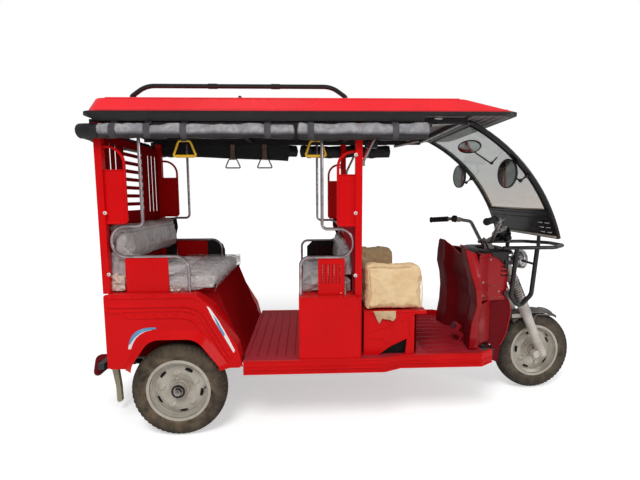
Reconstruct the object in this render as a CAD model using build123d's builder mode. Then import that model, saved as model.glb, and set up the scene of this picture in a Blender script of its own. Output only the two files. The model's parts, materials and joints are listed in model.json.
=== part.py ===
"""Electric rickshaw: a three-wheeled passenger carrier with a driver's bench in front and two
facing passenger benches behind, under a rigid roof.

+X is forward, +Y is the vehicle's left, +Z is up. The origin is on the ground under the middle
of the overall box. All sizes are millimetres.
"""

from build123d import *
from math import asin, cos, radians, sin, tan
import os

os.makedirs("parts", exist_ok=True)

# ---- driving dimensions -------------------------------------------------------------------
wheel_base = 2064
rear_track = 832
rear_axle_x = -898  # rear wheel centres, behind the origin
tyre_radius = 238
tyre_width = 92
rim_flange_radius = 160
rim_seat_radius = 150
rim_width = 70

floor_z = 380  # top of the passenger floor
driver_floor_z = 350
floor_sheet = 4
sheet = 3
rail_height = 50
rail_width = 40
rail_y = 230

body_half_width = 437  # fenders and box sides
sill_half_width = body_half_width + 13
sill_bottom_z = 313
front_half_width = body_half_width - 42
post_y = body_half_width - 43  # plane of the posts and hand rails
post_size = 34
seat_half_width = post_y - 22
rail_tube = 16
roll_half_depth = 27  # of a rolled rain curtain

roof_half_width = post_y + post_size / 2 + 2 * roll_half_depth + 3
roof_lip_z = 1599
roof_shoulder_z = 1658
roof_crown_z = 1684
roof_rear_x = rear_axle_x - 372
roof_front_x = rear_axle_x + 1678
roof_lip_overhang = 22

rear_post_x = rear_axle_x - 344  # centre of the rear posts
mid_post_x = rear_axle_x + 908  # centre of the middle posts

head_angle = 23.5  # rake of the steering axis from vertical
head_x = rear_axle_x + 1737  # where the steering axis passes through head_z
head_z = 915
fork_offset = 45  # fork legs ahead of the steering axis
fork_leg_y = 78
steer_rest = 6  # degrees that the parked steering is turned to the left

seat_gap = 0.3  # between a cushion and what carries it
skin_gap = 0.3  # between curved faces of neighbouring pieces
spin_gap = 0.5  # around a spindle in its hub

front_axle_x = rear_axle_x + wheel_base
rear_wheel_y = rear_track / 2
roof_under_z = roof_lip_z - 14
frame_bar = 28
frame_low_z = roof_under_z - frame_bar


def add_tube(points, bend, diameter):
    """Adds a round tube along points, its corners bent to one radius or to a list of radii."""
    with BuildLine() as route:
        if bend:
            FilletPolyline(*points, radius=bend)
        else:
            Polyline(*points)
    with BuildSketch(Plane(origin=route.line @ 0, z_dir=route.line % 0)) as section:
        Circle(diameter / 2)
    sweep(sections=section.sketch, path=route.wire())


def add_box(x_range, y_range, z_range, mode=Mode.ADD):
    """Adds or cuts a box given by its lowest and highest x, y and z."""
    corner = (x_range[0], y_range[0], z_range[0])
    with Locations(corner):
        Box(x_range[1] - x_range[0], y_range[1] - y_range[0], z_range[1] - z_range[0],
            align=(Align.MIN, Align.MIN, Align.MIN), mode=mode)


def side_plane(y):
    """Plane of a side view at y: sketch x is world X and sketch y is world Z."""
    return Plane(origin=(0, y, 0), x_dir=(1, 0, 0), z_dir=(0, -1, 0))


def axis_point(z, forward=0, side=0):
    """Point at height z on the steering axis, moved forward square to it and sideways."""
    rake = radians(head_angle)
    base_x = head_x + (head_z - z) * tan(rake)
    return (base_x + forward * cos(rake), side, z + forward * sin(rake))


steering_up = (-sin(radians(head_angle)), 0, cos(radians(head_angle)))


def finish(piece, label, steered=False):
    """Labels a finished piece, turns it if it steers and writes it as one STEP file."""
    solid = piece.part
    if steered:
        solid = solid.rotate(Axis(axis_point(head_z), steering_up), steer_rest)
    solid.label = label
    export_step(solid, f"parts/{label}.step")


# ---- wheels -------------------------------------------------------------------------------
hub_radius = 33
spindle_radius = 12
disc_sheet = 5
slot_ring_radius = 112
slot_count = 5
slot_phase = {"front": 31, "rear_left": -9, "rear_right": -9}  # angle of the first slot


def make_tyre(label, centre):
    """Tyre as one closed ring with a rounded crown and bulged sidewalls."""
    half = tyre_width / 2
    bead = rim_width / 2 - skin_gap
    shoulder_radius = tyre_radius - 20
    section_plane = Plane(origin=centre, x_dir=(0, 1, 0), z_dir=(1, 0, 0))
    with BuildPart() as tyre:
        with BuildSketch(section_plane):
            with BuildLine():
                Line((-bead, rim_seat_radius + skin_gap), (bead, rim_seat_radius + skin_gap))
                Line((bead, rim_seat_radius + skin_gap), (bead, rim_flange_radius + 2))
                ThreePointArc((bead, rim_flange_radius + 2), (half, (rim_flange_radius + shoulder_radius) / 2),
                              (half - 8, shoulder_radius))
                ThreePointArc((half - 8, shoulder_radius), (0, tyre_radius), (8 - half, shoulder_radius))
                ThreePointArc((8 - half, shoulder_radius), (-half, (rim_flange_radius + shoulder_radius) / 2),
                              (-bead, rim_flange_radius + 2))
                Line((-bead, rim_flange_radius + 2), (-bead, rim_seat_radius + skin_gap))
            make_face()
        revolve(axis=Axis(centre, (0, 1, 0)))
    finish(tyre, label, steered=label.startswith("front"))


def make_rim(label, centre, outward, hub_half_width, first_slot):
    """Pressed steel rim: barrel with rolled flanges, slotted disc and a hub for the spindle."""
    x, y, z = centre
    half = rim_width / 2
    lip = 4
    well_radius = rim_seat_radius - 16
    disc_y = outward * 8
    section_plane = Plane(origin=centre, x_dir=(0, 1, 0), z_dir=(1, 0, 0))
    with BuildPart() as rim:
        with BuildSketch(section_plane):
            Polygon((-half - lip, rim_flange_radius), (-half, rim_flange_radius), (-half, rim_seat_radius),
                    (-18, rim_seat_radius), (-10, well_radius), (10, well_radius), (18, rim_seat_radius),
                    (half, rim_seat_radius), (half, rim_flange_radius), (half + lip, rim_flange_radius),
                    (half + lip, rim_seat_radius - lip), (20, rim_seat_radius - lip),
                    (12, well_radius - lip), (-12, well_radius - lip), (-20, rim_seat_radius - lip),
                    (-half - lip, rim_seat_radius - lip), align=None)
            Polygon((disc_y - disc_sheet / 2, well_radius - lip), (disc_y + disc_sheet / 2, well_radius - lip),
                    (disc_y + disc_sheet / 2 + outward * 14, 88), (disc_y + disc_sheet / 2, 46),
                    (disc_y + disc_sheet / 2, hub_radius - 3), (disc_y - disc_sheet / 2, hub_radius - 3),
                    (disc_y - disc_sheet / 2, 46), (disc_y - disc_sheet / 2 + outward * 14, 88), align=None)
            with BuildLine():
                Polyline((-hub_half_width, spindle_radius + spin_gap), (hub_half_width, spindle_radius + spin_gap),
                         (hub_half_width, hub_radius), (-hub_half_width, hub_radius),
                         (-hub_half_width, spindle_radius + spin_gap))
            make_face()
        revolve(axis=Axis(centre, (0, 1, 0)))
        with BuildSketch(Plane(origin=(x, y + outward * 40, z), x_dir=(1, 0, 0), z_dir=(0, outward, 0))):
            with PolarLocations(slot_ring_radius, slot_count, start_angle=first_slot):
                SlotOverall(30, 11, rotation=90)
        extrude(amount=-60, mode=Mode.SUBTRACT)
    finish(rim, label, steered=label.startswith("front"))


wheel_centres = {
    "front": (front_axle_x, 0, tyre_radius),
    "rear_left": (rear_axle_x, rear_wheel_y, tyre_radius),
    "rear_right": (rear_axle_x, -rear_wheel_y, tyre_radius),
}
front_hub_half_width = 46
rear_hub_half_width = 44
for place, centre in wheel_centres.items():
    make_tyre(f"{place}_tyre", centre)
    outward = 1 if place == "rear_left" else -1
    hub_half_width = front_hub_half_width if place == "front" else rear_hub_half_width
    make_rim(f"{place}_rim", centre, outward, hub_half_width, slot_phase[place])

# ---- chassis ------------------------------------------------------------------------------
rail_top_z = floor_z - floor_sheet
rail_bottom_z = rail_top_z - rail_height
rail_rear_x = rear_axle_x - 400
driver_rail_x = rear_axle_x + 1270  # where the floor steps down for the driver
rail_front_x = rear_axle_x + 1700
driver_rail_top_z = driver_floor_z - floor_sheet
cross_size = 30
head_tube_low_z = 712
head_tube_high_z = 790
stem_radius = 14
head_tube_outer = 25
neck_y = 26
neck_tube = 26
with BuildPart() as chassis_frame:
    for side in (-1, 1):
        y_range = (side * rail_y - rail_width / 2, side * rail_y + rail_width / 2)
        add_box((rail_rear_x, driver_rail_x), y_range, (rail_bottom_z, rail_top_z))
        add_box((driver_rail_x, rail_front_x), y_range, (rail_bottom_z - 26, driver_rail_top_z))
        add_box((driver_rail_x - 60, driver_rail_x), y_range, (rail_bottom_z - 26, rail_bottom_z))
    for cross_x, reach, top in ((-385, body_half_width, rail_top_z), (342, body_half_width, rail_top_z),
                                (620, body_half_width, rail_top_z), (915, body_half_width, rail_top_z),
                                (1225, front_half_width, rail_top_z), (1480, front_half_width, driver_rail_top_z),
                                (1685, rail_y + 6, driver_rail_top_z)):
        x_mid = rear_axle_x + cross_x
        add_box((x_mid - cross_size / 2, x_mid + cross_size / 2), (6 - reach, reach - 6), (top - cross_size, top))
    low = axis_point(head_tube_low_z)
    high = axis_point(head_tube_high_z)
    with BuildSketch(Plane(origin=low, z_dir=steering_up)) as head_ring:
        Circle(head_tube_outer)
    head_length = (head_tube_high_z - head_tube_low_z) / cos(radians(head_angle))
    extrude(amount=head_length)
    neck_foot_x = rear_axle_x + 1685
    for side in (-1, 1):
        lower = axis_point(head_tube_low_z + 46)
        upper = axis_point(head_tube_high_z - 22)
        add_tube([(neck_foot_x, side * neck_y, driver_rail_top_z - 8), (lower[0] - 135, side * neck_y, 540),
                  (lower[0], side * 8, lower[2])], 40, neck_tube)
        add_tube([(neck_foot_x - 6, side * 95, driver_rail_top_z - 8), (upper[0] - 95, side * 60, 640),
                  (upper[0], side * 6, upper[2])], 60, neck_tube - 6)
    with BuildSketch(Plane(origin=low, z_dir=steering_up).offset(-2)) as head_bore:
        Circle(stem_radius + 1)
    extrude(amount=head_length + 4, mode=Mode.SUBTRACT)
finish(chassis_frame, "chassis_frame")

# ---- rear axle, springs and motor ---------------------------------------------------------
axle_tube = 56
axle_half = rear_wheel_y - rear_hub_half_width - 6
spring_y = 300
diff_y = -60
with BuildPart() as rear_axle:
    with BuildSketch(Plane(origin=(rear_axle_x, 0, tyre_radius), x_dir=(1, 0, 0), z_dir=(0, 1, 0))):
        Circle(axle_tube / 2)
    extrude(amount=axle_half, both=True)
    with BuildSketch(Plane(origin=(rear_axle_x, 0, tyre_radius), x_dir=(1, 0, 0), z_dir=(0, 1, 0))):
        Circle(spindle_radius)
    extrude(amount=rear_wheel_y + rear_hub_half_width + 8, both=True)
    for side in (-1, 1):
        with BuildSketch(Plane(origin=(rear_axle_x, side * axle_half, tyre_radius), x_dir=(1, 0, 0),
                               z_dir=(0, -side, 0))):
            Circle(86)
        extrude(amount=30)
        with BuildSketch(Plane(origin=(rear_axle_x, side * (rear_wheel_y + rear_hub_half_width + 1), tyre_radius),
                               x_dir=(1, 0, 0), z_dir=(0, side, 0))):
            RegularPolygon(20, 6)
        extrude(amount=14)
    with Locations((rear_axle_x, diff_y, tyre_radius)):
        Sphere(84)
    with BuildSketch(Plane(origin=(rear_axle_x, diff_y + 50, tyre_radius), x_dir=(1, 0, 0), z_dir=(0, 1, 0))):
        Circle(74)
    extrude(amount=190)
finish(rear_axle, "rear_axle")

leaf_width = 50
spring_half = 300
spring_seat_z = tyre_radius + axle_tube / 2 + skin_gap
eye_z = rail_bottom_z - 22
with BuildPart() as leaf_springs:
    for side in (-1, 1):
        y = side * rail_y
        with BuildSketch(side_plane(y + leaf_width / 2)):
            with BuildLine():
                ThreePointArc((rear_axle_x - spring_half, eye_z), (rear_axle_x, spring_seat_z),
                              (rear_axle_x + spring_half, eye_z))
                Line((rear_axle_x + spring_half, eye_z), (rear_axle_x + spring_half, eye_z + 7))
                ThreePointArc((rear_axle_x + spring_half, eye_z + 7), (rear_axle_x, spring_seat_z + 22),
                              (rear_axle_x - spring_half, eye_z + 7))
                Line((rear_axle_x - spring_half, eye_z + 7), (rear_axle_x - spring_half, eye_z))
            make_face()
        extrude(amount=leaf_width)
        for end in (-1, 1):
            x_mid = rear_axle_x + end * (spring_half + 4)
            add_box((x_mid - 12, x_mid + 12), (y - leaf_width / 2, y + leaf_width / 2),
                    (eye_z - 8, rail_bottom_z - skin_gap))
finish(leaf_springs, "leaf_springs")

# ---- floors and sills ---------------------------------------------------------------------
seat_box_front_x = rear_axle_x + 314  # foot of the rear seat box
mid_box_rear_x = rear_axle_x + 606
mid_box_front_x = rear_axle_x + 919
sill_front_x = rear_axle_x + 1640
sill_depth = sill_half_width - body_half_width
kink_start_x = rear_axle_x + 1040
kink_end_x = rear_axle_x + 1130
fender_front_x = rear_axle_x + 320
fender_depth = 92
with BuildPart() as floor_pan:
    inner_y = body_half_width - fender_depth - 1
    half_outline = [(rear_axle_x + 250, inner_y), (fender_front_x + 4, inner_y), (fender_front_x + 4, body_half_width),
                    (kink_start_x, body_half_width), (kink_end_x, front_half_width), (driver_rail_x, front_half_width)]
    with BuildSketch(Plane.XY.offset(rail_top_z)):
        Polygon(*half_outline, *[(x, -y) for x, y in reversed(half_outline)], align=None)
    extrude(amount=floor_sheet)
finish(floor_pan, "floor_pan")

nose_start_x = rear_axle_x + 1560
lip_height = 14
rib_height = 6
with BuildPart() as side_sills:
    sill_rear_x = fender_front_x + 4
    for side in (-1, 1):
        outer = [(sill_rear_x, sill_half_width), (kink_start_x, sill_half_width),
                 (kink_end_x, front_half_width + sill_depth), (nose_start_x, front_half_width + sill_depth),
                 (sill_front_x, front_half_width - 40)]
        inner = [(sill_front_x - 14, front_half_width - 50), (nose_start_x - 6, front_half_width + 0.3),
                 (kink_end_x, front_half_width + 0.3), (kink_start_x, body_half_width + 0.3),
                 (sill_rear_x, body_half_width + 0.3)]
        outline = [(x, side * y) for x, y in outer + inner]
        with BuildSketch(Plane.XY.offset(sill_bottom_z)):
            Polygon(*outline, align=None)
        extrude(amount=floor_z + 2 - sill_bottom_z)
        ridge = [(x, side * (y + 5)) for x, y in outer] + [(x, side * y) for x, y in reversed(outer)]
        for ridge_z in (sill_bottom_z, sill_bottom_z + 24):
            with BuildSketch(Plane.XY.offset(ridge_z)):
                Polygon(*ridge, align=None)
            extrude(amount=rib_height)
finish(side_sills, "side_sills")

with BuildPart() as driver_floor:
    with BuildSketch(Plane.XY.offset(driver_rail_top_z)):
        Polygon((driver_rail_x + 1, -front_half_width), (nose_start_x - 10, -front_half_width),
                (sill_front_x - 20, -front_half_width + 56), (sill_front_x - 20, front_half_width - 56),
                (nose_start_x - 10, front_half_width), (driver_rail_x + 1, front_half_width), align=None)
    extrude(amount=floor_sheet)
    for rib in range(-4, 5):
        rib_y = rib * 70
        add_box((driver_rail_x + 40, driver_rail_x + 230), (rib_y - 10, rib_y + 10),
                (driver_floor_z, driver_floor_z + 4))
    pedal_x = rear_axle_x + 1520
    pedal_y = -150
    add_tube([(pedal_x + 20, pedal_y, driver_floor_z - 1), (pedal_x + 40, pedal_y, driver_floor_z + 50),
              (pedal_x, pedal_y, driver_floor_z + 92)], 14, 12)
    with BuildSketch(Plane(origin=(pedal_x, pedal_y, driver_floor_z + 92), x_dir=(0, 1, 0),
                           z_dir=(-0.8, 0, 0.6))):
        RectangleRounded(70, 46, 6)
    extrude(amount=8, both=True)
finish(driver_floor, "driver_floor")

# ---- rear bumper --------------------------------------------------------------------------
bumper_rear_x = rear_axle_x - 500
bumper_z = 262
bumper_half = 300
with BuildPart() as rear_bumper:
    bumper_root_x = rail_rear_x - 0.3
    add_tube([(bumper_root_x, -bumper_half, rail_top_z - 18), (bumper_rear_x + 40, -bumper_half, rail_top_z - 18),
              (bumper_rear_x + 17, -bumper_half + 10, bumper_z), (bumper_rear_x + 17, bumper_half - 10, bumper_z),
              (bumper_rear_x + 40, bumper_half, rail_top_z - 18),
              (bumper_root_x, bumper_half, rail_top_z - 18)], 24, 34)
    add_box((bumper_root_x - 6, bumper_root_x), (-bumper_half - 30, bumper_half + 30), (rail_top_z - cross_size, rail_top_z))
    strap_x = bumper_rear_x + 60
    with BuildSketch(side_plane(-196)):
        Polygon((strap_x, rail_top_z - 8), (strap_x + 24, rail_top_z - 8), (strap_x + 24, 250), (strap_x + 34, 150),
                (strap_x + 36, 66), (strap_x + 26, 60), (strap_x + 18, 66), (strap_x + 16, 150), (strap_x, 250), align=None)
    extrude(amount=8)
    add_box((strap_x, bumper_root_x), (-205, -195), (rail_top_z - 20, rail_top_z - 8))
finish(rear_bumper, "rear_bumper")

# ---- rear fenders -------------------------------------------------------------------------
fender_top_z = 728
fender_bottom_z = 350
fender_rear_x = rear_axle_x - 347
arch_half_rear = 222
arch_half_front = 212
arch_top_z = 507
arch_bends = [10, 95, 95, 95, 70, 10]
flare_reach = 31
flare_rise = 42
fender_outline = [(fender_rear_x, fender_bottom_z), (fender_rear_x, fender_top_z),
                  (rear_axle_x + 92, fender_top_z), (rear_axle_x + 178, 655), (rear_axle_x + 296, 452),
                  (fender_front_x, 345), (rear_axle_x + 238, 345)]


def arch_outline(grow):
    """Side outline of the wheel arch opening, grown outwards by grow, from rear to front."""
    return [(rear_axle_x - arch_half_rear - grow, 300), (rear_axle_x - arch_half_rear - grow, 372),
            (rear_axle_x - 128 - 0.6 * grow, arch_top_z + grow), (rear_axle_x + 98 + 0.6 * grow, arch_top_z + grow),
            (rear_axle_x + arch_half_front + grow, 357), (rear_axle_x + arch_half_front + grow, 300)]


def make_fender(label, side):
    """Fender shell: outer side, top and slopes, with a flare standing out around the wheel."""
    def side_view(y):
        return Plane(origin=(0, side * y, 0), x_dir=(1, 0, 0), z_dir=(0, -1, 0))

    inwards = side  # sketch normals point to -Y
    with BuildPart() as fender:
        with BuildSketch(side_view(body_half_width)):
            with BuildLine():
                FilletPolyline(*fender_outline, radius=18, close=True)
            make_face()
        extrude(amount=inwards * fender_depth)
        with BuildSketch(side_view(body_half_width - sheet)):
            with BuildLine():
                FilletPolyline(*fender_outline, radius=18, close=True)
            make_face()
            offset(amount=-sheet, mode=Mode.REPLACE)
        extrude(amount=inwards * fender_depth, mode=Mode.SUBTRACT)
        with BuildSketch(side_view(body_half_width - 2)):
            with BuildLine():
                FilletPolyline(*arch_outline(flare_rise), radius=arch_bends, close=True)
            make_face()
        with BuildSketch(side_view(body_half_width + flare_reach)):
            with BuildLine():
                FilletPolyline(*arch_outline(3), radius=arch_bends, close=True)
            make_face()
        loft(ruled=True)
        with BuildSketch(side_view(body_half_width - 2.5)):
            with BuildLine():
                FilletPolyline(*arch_outline(flare_rise - 5), radius=arch_bends, close=True)
            make_face()
        with BuildSketch(side_view(body_half_width + flare_reach + 0.5)):
            with BuildLine():
                FilletPolyline(*arch_outline(0), radius=arch_bends, close=True)
            make_face()
        loft(ruled=True, mode=Mode.SUBTRACT)
        with BuildSketch(side_view(body_half_width - 2)):
            with BuildLine():
                FilletPolyline(*arch_outline(flare_rise - 5), radius=arch_bends, close=True)
            make_face()
        extrude(amount=inwards * fender_depth * 1.2, mode=Mode.SUBTRACT)
        add_box((rear_axle_x - 400, rear_axle_x + 400),
                (min(0, side * 600), max(0, side * 600)), (200, fender_bottom_z - 6), mode=Mode.SUBTRACT)
    finish(fender, label)


make_fender("rear_fender_right", -1)
make_fender("rear_fender_left", 1)

# ---- rear seat box and rear wall ----------------------------------------------------------
seat_top_z = 735
box_half_width = body_half_width - fender_depth - skin_gap
wall_x = rear_post_x - 10
rear_seat_edge_x = rear_axle_x + 179
with BuildPart() as rear_seat_box:
    with BuildSketch(side_plane(post_y - 26)):
        Polygon((wall_x + 22, seat_top_z - sheet), (rear_seat_edge_x, seat_top_z - sheet),
                (seat_box_front_x, floor_z), (seat_box_front_x + 3.5, floor_z),
                (rear_seat_edge_x + 3, seat_top_z), (wall_x + 22, seat_top_z), align=None)
    extrude(amount=2 * (post_y - 26))
    for side in (-1, 1):
        low_y = box_half_width if side > 0 else -post_y + 20
        add_box((rear_axle_x, seat_box_front_x + 10), (low_y, low_y + post_y - 20 - box_half_width),
                (floor_z - 1, fender_top_z + 4), mode=Mode.SUBTRACT)
    for side in (-1, 1):
        with BuildSketch(side_plane(box_half_width * side)):
            Polygon((wall_x + 22, rail_top_z), (wall_x + 22, seat_top_z - 1), (rear_seat_edge_x - 1, seat_top_z - 1),
                    (seat_box_front_x, floor_z + 0.2), (rear_axle_x + 250, floor_z + 0.2),
                    (rear_axle_x + 250, rail_top_z), align=None)
        extrude(amount=side * sheet)
        add_box((fender_rear_x + 20, rear_axle_x + 60),
                (min(side * box_half_width, side * (post_y - 26)), max(side * box_half_width, side * (post_y - 26))),
                (fender_top_z + 1, fender_top_z + 1 + sheet))
finish(rear_seat_box, "rear_seat_box")

wall_half = post_y - post_size / 2 - 1
slot_pitch = 57
slot_ys = [wall_half - 47 - step * slot_pitch for step in (2, 1, 0)]
wall_top_z = roof_lip_z - 79
slot_low_z = 1114
slot_high_z = 1478
slat_half = 120
slat_count = 8
slat_pitch = 46
slat_top_z = 1478
plate_z = 600  # registration plate screws
plate_hole_spacing = 170
plate_hole_radius = 3.5
with BuildPart() as rear_wall:
    add_box((wall_x, wall_x + sheet), (-wall_half, wall_half), (rail_top_z + 0.3, wall_top_z))
    for side in (-1, 1):
        for slot_y in slot_ys:
            add_box((wall_x - 5, wall_x + 10), (side * slot_y - 7, side * slot_y + 7), (slot_low_z, slot_high_z),
                    mode=Mode.SUBTRACT)
    for row in range(slat_count):
        top = slat_top_z - row * slat_pitch
        add_box((wall_x - 5, wall_x + 10), (-slat_half, slat_half), (top - 26, top), mode=Mode.SUBTRACT)
    with BuildSketch(Plane(origin=(wall_x, 0, plate_z), x_dir=(0, 1, 0), z_dir=(1, 0, 0))):
        with GridLocations(plate_hole_spacing, 1, 2, 1):
            Circle(plate_hole_radius)
    extrude(amount=sheet, mode=Mode.SUBTRACT)
finish(rear_wall, "rear_wall")

# ---- posts --------------------------------------------------------------------------------
infill_low_z = 1078
infill_high_z = 1334
arc_top_z = 1446
rear_loop_x = rear_axle_x - 230
mid_loop_x = rear_axle_x + 806
mid_infill_low_z = 1056
mid_infill_high_z = 1308
mid_arc_top_z = 1420
loop_tube = 14


def add_post(x_mid, loop_x, low_z, high_z, arc_z, foot_z, side):
    """Square post with a sheet infill and, above it, a quarter-round tube."""
    toward = 1 if loop_x > x_mid else -1
    face_x = x_mid + toward * post_size / 2
    y = side * post_y
    add_box((x_mid - post_size / 2, x_mid + post_size / 2), (y - post_size / 2, y + post_size / 2),
            (foot_z, frame_low_z - 0.3))
    add_box((min(face_x, loop_x), max(face_x, loop_x)), (y - 1.5, y + 1.5), (low_z + 2, high_z))
    reach = abs(loop_x - face_x)
    add_tube([(face_x - toward * 4, y, arc_z), (loop_x, y, arc_z), (loop_x, y, low_z), (face_x - toward * 4, y, low_z)],
             [reach * 0.85, 16], loop_tube)


with BuildPart() as rear_posts:
    for side in (-1, 1):
        add_post(rear_post_x, rear_loop_x, infill_low_z, infill_high_z, arc_top_z, fender_top_z + 0.3, side)
finish(rear_posts, "rear_posts")

with BuildPart() as mid_posts:
    for side in (-1, 1):
        add_post(mid_post_x, mid_loop_x, mid_infill_low_z, mid_infill_high_z, mid_arc_top_z, floor_z + 0.5, side)
        y = side * post_y
        add_tube([(mid_post_x + post_size / 2 - 2, y, 1360), (mid_post_x + 108, y, frame_low_z - 4)], 0, 12)
finish(mid_posts, "mid_posts")

# ---- seat rails and arm panels ------------------------------------------------------------
rear_pole_x = rear_axle_x - 156
mid_pole_x = rear_axle_x + 726
rear_arm_z = 911
mid_arm_z = 898
rear_arm_front_x = rear_axle_x + 58
mid_arm_rear_x = rear_axle_x + 616
box_top_z = 700
rail_plane_y = post_y
rear_c_x = rear_axle_x - 312
mid_c_x = rear_axle_x + 880
pole_gap = loop_tube / 2 + rail_tube / 2 + 0.3


def add_seat_rail(pole_x, c_x, low_z, arm_z, arm_end_x, arm_bend, foot_z, side):
    """One bent tube: roof pole, C-shaped back, arm rest and its quarter-round end."""
    y = side * rail_plane_y
    bend = (low_z - pole_gap - arm_z) / 2 * 0.96
    rail_z = low_z - pole_gap
    add_tube([(pole_x, y, frame_low_z - 0.3), (pole_x, y, rail_z), (c_x, y, rail_z), (c_x, y, arm_z),
              (arm_end_x, y, arm_z), (arm_end_x, y, foot_z)], [26, bend, bend, arm_bend], rail_tube)


with BuildPart() as seat_rails:
    for side in (-1, 1):
        add_seat_rail(rear_pole_x, rear_c_x, infill_low_z, rear_arm_z, rear_arm_front_x, 66,
                      fender_top_z + skin_gap, side)
        add_seat_rail(mid_pole_x, mid_c_x, mid_infill_low_z, mid_arm_z, mid_arm_rear_x, 42, box_top_z + 4, side)
finish(seat_rails, "seat_rails")

panel_gap = rail_tube / 2 + skin_gap
rear_panel_x = (rear_axle_x - 250, rear_axle_x - 42)
mid_panel_x = (rear_axle_x + 706, rear_axle_x + 838)
with BuildPart() as arm_panels:
    for side in (-1, 1):
        y_range = (side * rail_plane_y - 3, side * rail_plane_y + 3)
        add_box(rear_panel_x, y_range, (fender_top_z + skin_gap, rear_arm_z - panel_gap))
        add_box(mid_panel_x, y_range, (box_top_z + 4, mid_arm_z - panel_gap))
        for slot in range(4):
            slot_x = rear_axle_x + 726 + slot * 30
            add_box((slot_x - 1.5, slot_x + 1.5), (y_range[0] - 1, y_range[1] + 1), (764, 862), mode=Mode.SUBTRACT)
finish(arm_panels, "arm_panels")

# ---- middle seat box ----------------------------------------------------------------------
partition_x = rear_axle_x + 930  # back of the middle box, ahead of the middle posts
with BuildPart() as mid_seat_box:
    for side in (-1, 1):
        edge = side * body_half_width
        add_box((mid_box_rear_x, mid_box_front_x), (min(edge, edge - side * sheet), max(edge, edge - side * sheet)),
                (floor_z + 0.5, box_top_z))
        add_box((mid_box_rear_x, mid_post_x - post_size / 2 - 1),
                (min(edge, side * (post_y - 30)), max(edge, side * (post_y - 30))), (box_top_z, box_top_z + sheet))
    add_box((mid_box_rear_x, mid_box_rear_x + sheet), (-body_half_width, body_half_width),
            (floor_z + 0.5, box_top_z + sheet))
    add_box((mid_box_rear_x, mid_post_x - post_size / 2 - 1), (-(post_y - 30), post_y - 30),
            (box_top_z, box_top_z + sheet))
    back_half = post_y - post_size / 2 - 1
    add_box((mid_post_x - post_size / 2 - 4, mid_post_x - post_size / 2 - 1), (-back_half, back_half),
            (floor_z + 0.5, 1000))
finish(mid_seat_box, "mid_seat_box")

with BuildPart() as battery_pack:
    add_box((mid_box_rear_x + 40, mid_box_rear_x + 240), (-360, 360), (floor_z + 0.3, floor_z + 250))
finish(battery_pack, "battery_pack")

# ---- seat cushions (soft) -----------------------------------------------------------------
rear_cushion_height = 62
mid_cushion_height = 82
rear_cushion_front_x = rear_axle_x + 182
back_thickness = 110
mid_back_thickness = 60
mid_cushion_low_z = box_top_z + sheet + seat_gap
with BuildPart() as rear_seat_cushion:
    add_box((wall_x + 24, rear_cushion_front_x), (-seat_half_width, seat_half_width),
            (seat_top_z + seat_gap, seat_top_z + seat_gap + rear_cushion_height))
    fillet(rear_seat_cushion.edges().filter_by(Axis.Y).group_by(Axis.X)[-1], 30)
finish(rear_seat_cushion, "rear_seat_cushion")

rear_back_low_z = seat_top_z + 155
rear_back_high_z = seat_top_z + 345
with BuildPart() as rear_seat_back:
    with BuildSketch(side_plane(seat_half_width)):
        with BuildLine():
            FilletPolyline((wall_x + sheet + seat_gap, rear_back_low_z), (wall_x + 24 + back_thickness, rear_back_low_z),
                           (wall_x + back_thickness - 10, rear_back_high_z),
                           (wall_x + sheet + seat_gap, rear_back_high_z), radius=18,
                           close=True)
        make_face()
    extrude(amount=2 * seat_half_width)
finish(rear_seat_back, "rear_seat_back")

mid_back_x = mid_post_x - post_size / 2 - 4 - seat_gap
with BuildPart() as mid_seat_cushion:
    add_box((mid_box_rear_x + 4, mid_back_x), (-seat_half_width + 12, seat_half_width - 12),
            (mid_cushion_low_z, mid_cushion_low_z + mid_cushion_height))
    fillet(mid_seat_cushion.edges().filter_by(Axis.Y).group_by(Axis.X)[0], 30)
finish(mid_seat_cushion, "mid_seat_cushion")

mid_back_low_z = mid_cushion_low_z + mid_cushion_height + 2
mid_back_high_z = mid_back_low_z + 180
with BuildPart() as mid_seat_back:
    with BuildSketch(side_plane(seat_half_width - 12)):
        with BuildLine():
            FilletPolyline((mid_back_x, mid_back_low_z), (mid_back_x - mid_back_thickness, mid_back_low_z),
                           (mid_back_x - mid_back_thickness + 20, mid_back_high_z), (mid_back_x, mid_back_high_z),
                           radius=16, close=True)
        make_face()
    extrude(amount=2 * (seat_half_width - 12))
finish(mid_seat_back, "mid_seat_back")

# ---- driver's bench -----------------------------------------------------------------------
bench_rear_x = rear_axle_x + 940
bench_front_x = rear_axle_x + 1222
bench_top_z = 612
bench_half = front_half_width - 3
bench_wall = 3
with BuildPart() as driver_seat_box:
    add_box((bench_rear_x, bench_front_x), (-bench_half, bench_half), (floor_z + 0.5, bench_top_z))
    fillet(driver_seat_box.edges().filter_by(Axis.Z).group_by(Axis.X)[-1], 30)
    add_box((bench_front_x - 40, bench_front_x + 44), (-bench_half, bench_half), (bench_top_z - 16, bench_top_z))
    add_box((bench_rear_x + bench_wall, bench_front_x - bench_wall), (-bench_half + bench_wall, bench_half - bench_wall),
            (floor_z, bench_top_z - bench_wall), mode=Mode.SUBTRACT)
    with BuildSketch(side_plane(bench_half + 5)):
        Polygon((rear_axle_x + 1018, floor_z), (rear_axle_x + 1078, floor_z + 46), (rear_axle_x + 1168, floor_z + 88),
                (rear_axle_x + 1158, floor_z), align=None)
    extrude(amount=2 * bench_half + 10, mode=Mode.SUBTRACT)
finish(driver_seat_box, "driver_seat_box")

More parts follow.
